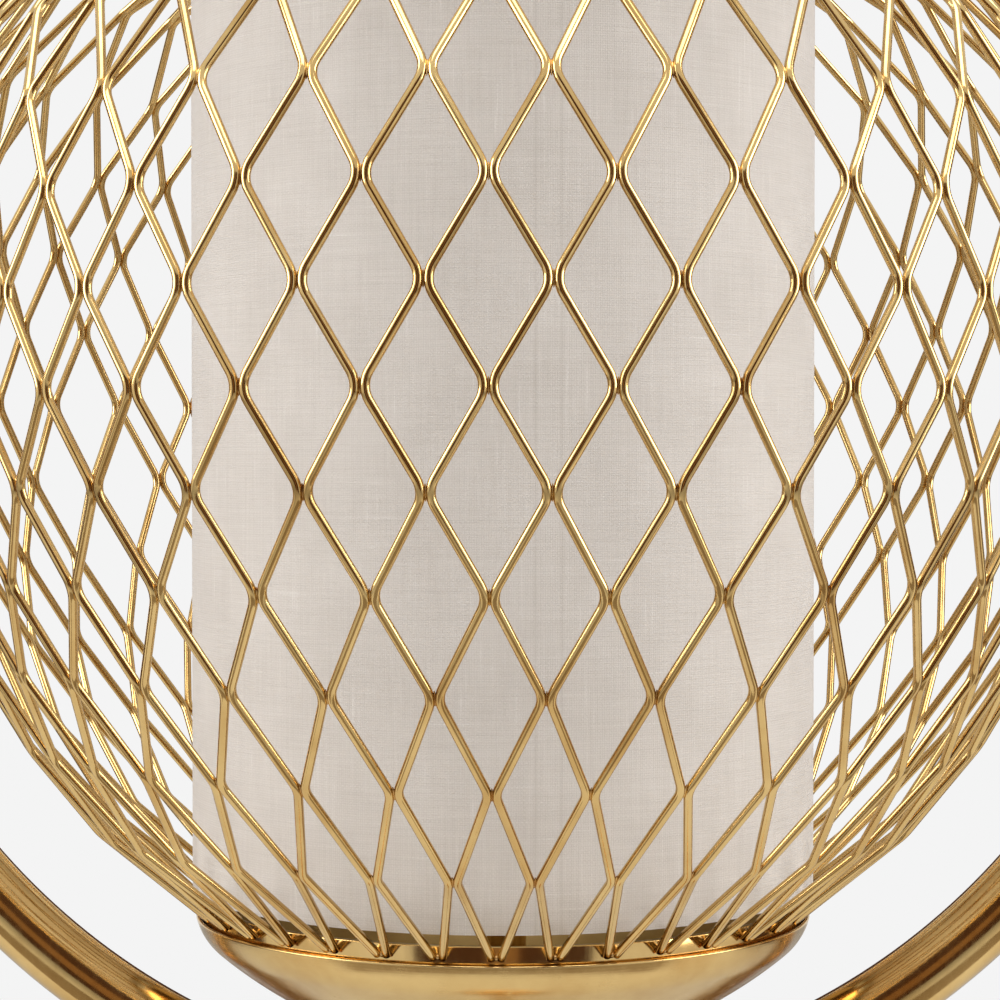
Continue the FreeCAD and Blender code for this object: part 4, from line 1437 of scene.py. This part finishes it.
@dataclass
class Studio:
    """Floor, backdrop, lamps, flags and camera.

    Attributes:
        backdrop: Level of the background.
        ambient: Level of the even light from all round.
        lens: The camera's lens, in millimetres on a 36 mm frame.
        eye: Where the camera stands.
        pitch: Its tilt, from straight down.
        head: Middle of the lamp's head.
        floor_radius: Radius of the floor.
    """

    backdrop: Colour = srgb(244, 244, 244)
    ambient: float = 0.34
    lens: float = 95.94
    eye: Vector = field(default_factory=lambda: Vector((-0.001, -0.910, 1.2870)))
    pitch: float = math.radians(88.99)
    head: Vector = field(default_factory=lambda: Vector((0.0, 0.0, 1.30)))
    floor_radius: float = 5.0

    def build(self) -> None:
        """Set the studio up."""
        self.floor()
        self.surroundings()
        for softbox in self.softboxes():
            softbox.build()
        for flag in self.flags():
            flag.build()
        self.camera()
        bpy.context.scene.view_settings.view_transform = "Standard"

    def softboxes(self) -> list[Softbox]:
        """Give the lamps."""
        return [
            Softbox("softbox_left", Vector((-2.6, -0.75, 2.2)), self.head, 1.4, 2.0, 62.0),
            Softbox("softbox_right", Vector((2.6, -0.65, 2.0)), self.head, 1.4, 2.0, 60.0),
            Softbox("softbox_top", Vector((0.0, -0.9, 3.5)), self.head, 2.0, 1.4, 34.0),
        ]

    def flags(self) -> list[Flag]:
        """Give the dark cards."""
        return [
            Flag("flag_front", 0.0, 12.0, (2.7, 0.5), (2.7, 2.6), srgb(150, 112, 74)),
            Flag("flag_front_left", -19.0, 27.0, (2.6, 0.5), (2.6, 2.6)),
            Flag("flag_front_right", 19.0, 27.0, (2.6, 0.5), (2.6, 2.6)),
            Flag("flag_left", -112.0, 26.0, (2.6, 0.0), (2.6, 2.6)),
            Flag("flag_right", 112.0, 26.0, (2.6, 0.0), (2.6, 2.6)),
            Flag("flag_back", 180.0, 24.0, (2.6, 0.0), (2.6, 2.2)),
            Flag("flag_low", 0.0, 140.0, (1.0, 0.02), (2.0, 0.02), srgb(150, 138, 124)),
        ]

    def floor(self) -> None:
        """Lay the pale floor."""
        mesh = bmesh.new()
        bmesh.ops.create_circle(mesh, cap_ends=True, segments=96, radius=self.floor_radius)
        data = filed(mesh, "pale_floor")
        paint = Coating("floor_paint", srgb(238, 238, 237), srgb(234, 234, 233), 0.8, 60.0, 1e-5)
        data.materials.append(paint.build())
        floor = linked("pale_floor", data)

    def surroundings(self) -> None:
        """Light the scene evenly, and show the pale backdrop to the eye and to metal."""
        world = bpy.data.worlds.new("surroundings")
        bpy.context.scene.world = world
        world.use_nodes = True
        graph = Graph(world.node_tree)
        seen = graph.node("ShaderNodeLightPath", output="Is Camera Ray")
        for ray in ("Is Glossy Ray", "Is Transmission Ray"):
            seen = seen.larger(graph.node("ShaderNodeLightPath", output=ray))
        white = (1.0, 1.0, 1.0)
        light = graph.node("ShaderNodeBackground", None, {"Color": white, "Strength": self.ambient})
        shown = graph.node("ShaderNodeBackground", None, {"Color": self.backdrop, "Strength": 1.0})
        both = graph.node("ShaderNodeMixShader", None, {0: seen, 1: light, 2: shown})
        graph.node_output("ShaderNodeOutputWorld", both)

    def camera(self) -> None:
        """Set the camera at the photograph's place."""
        data = bpy.data.cameras.new("camera")
        data.sensor_width = 36.0
        data.lens = self.lens
        data.clip_start = 0.01
        camera = linked("camera", data)
        camera.location = self.eye
        camera.rotation_euler = (self.pitch, 0.0, 0.0)
        bpy.context.scene.camera = camera


def main() -> None:
    """Build the lamp and the studio."""
    logging.basicConfig(level=logging.INFO, format="%(relativeCreated)7.0f ms  %(message)s")
    paints = {finish.name: finish.build() for finish in FINISHES}
    for assembly in (Base, FootSwitch, Pole, Hoop, Dish, Cage, Shade, Lampholder, Bulb):
        log.info("building %s", assembly.__name__)
        assembly(paints).build()
    Studio().build()
    bpy.context.view_layer.update()


if __name__ == "__main__":
    main()
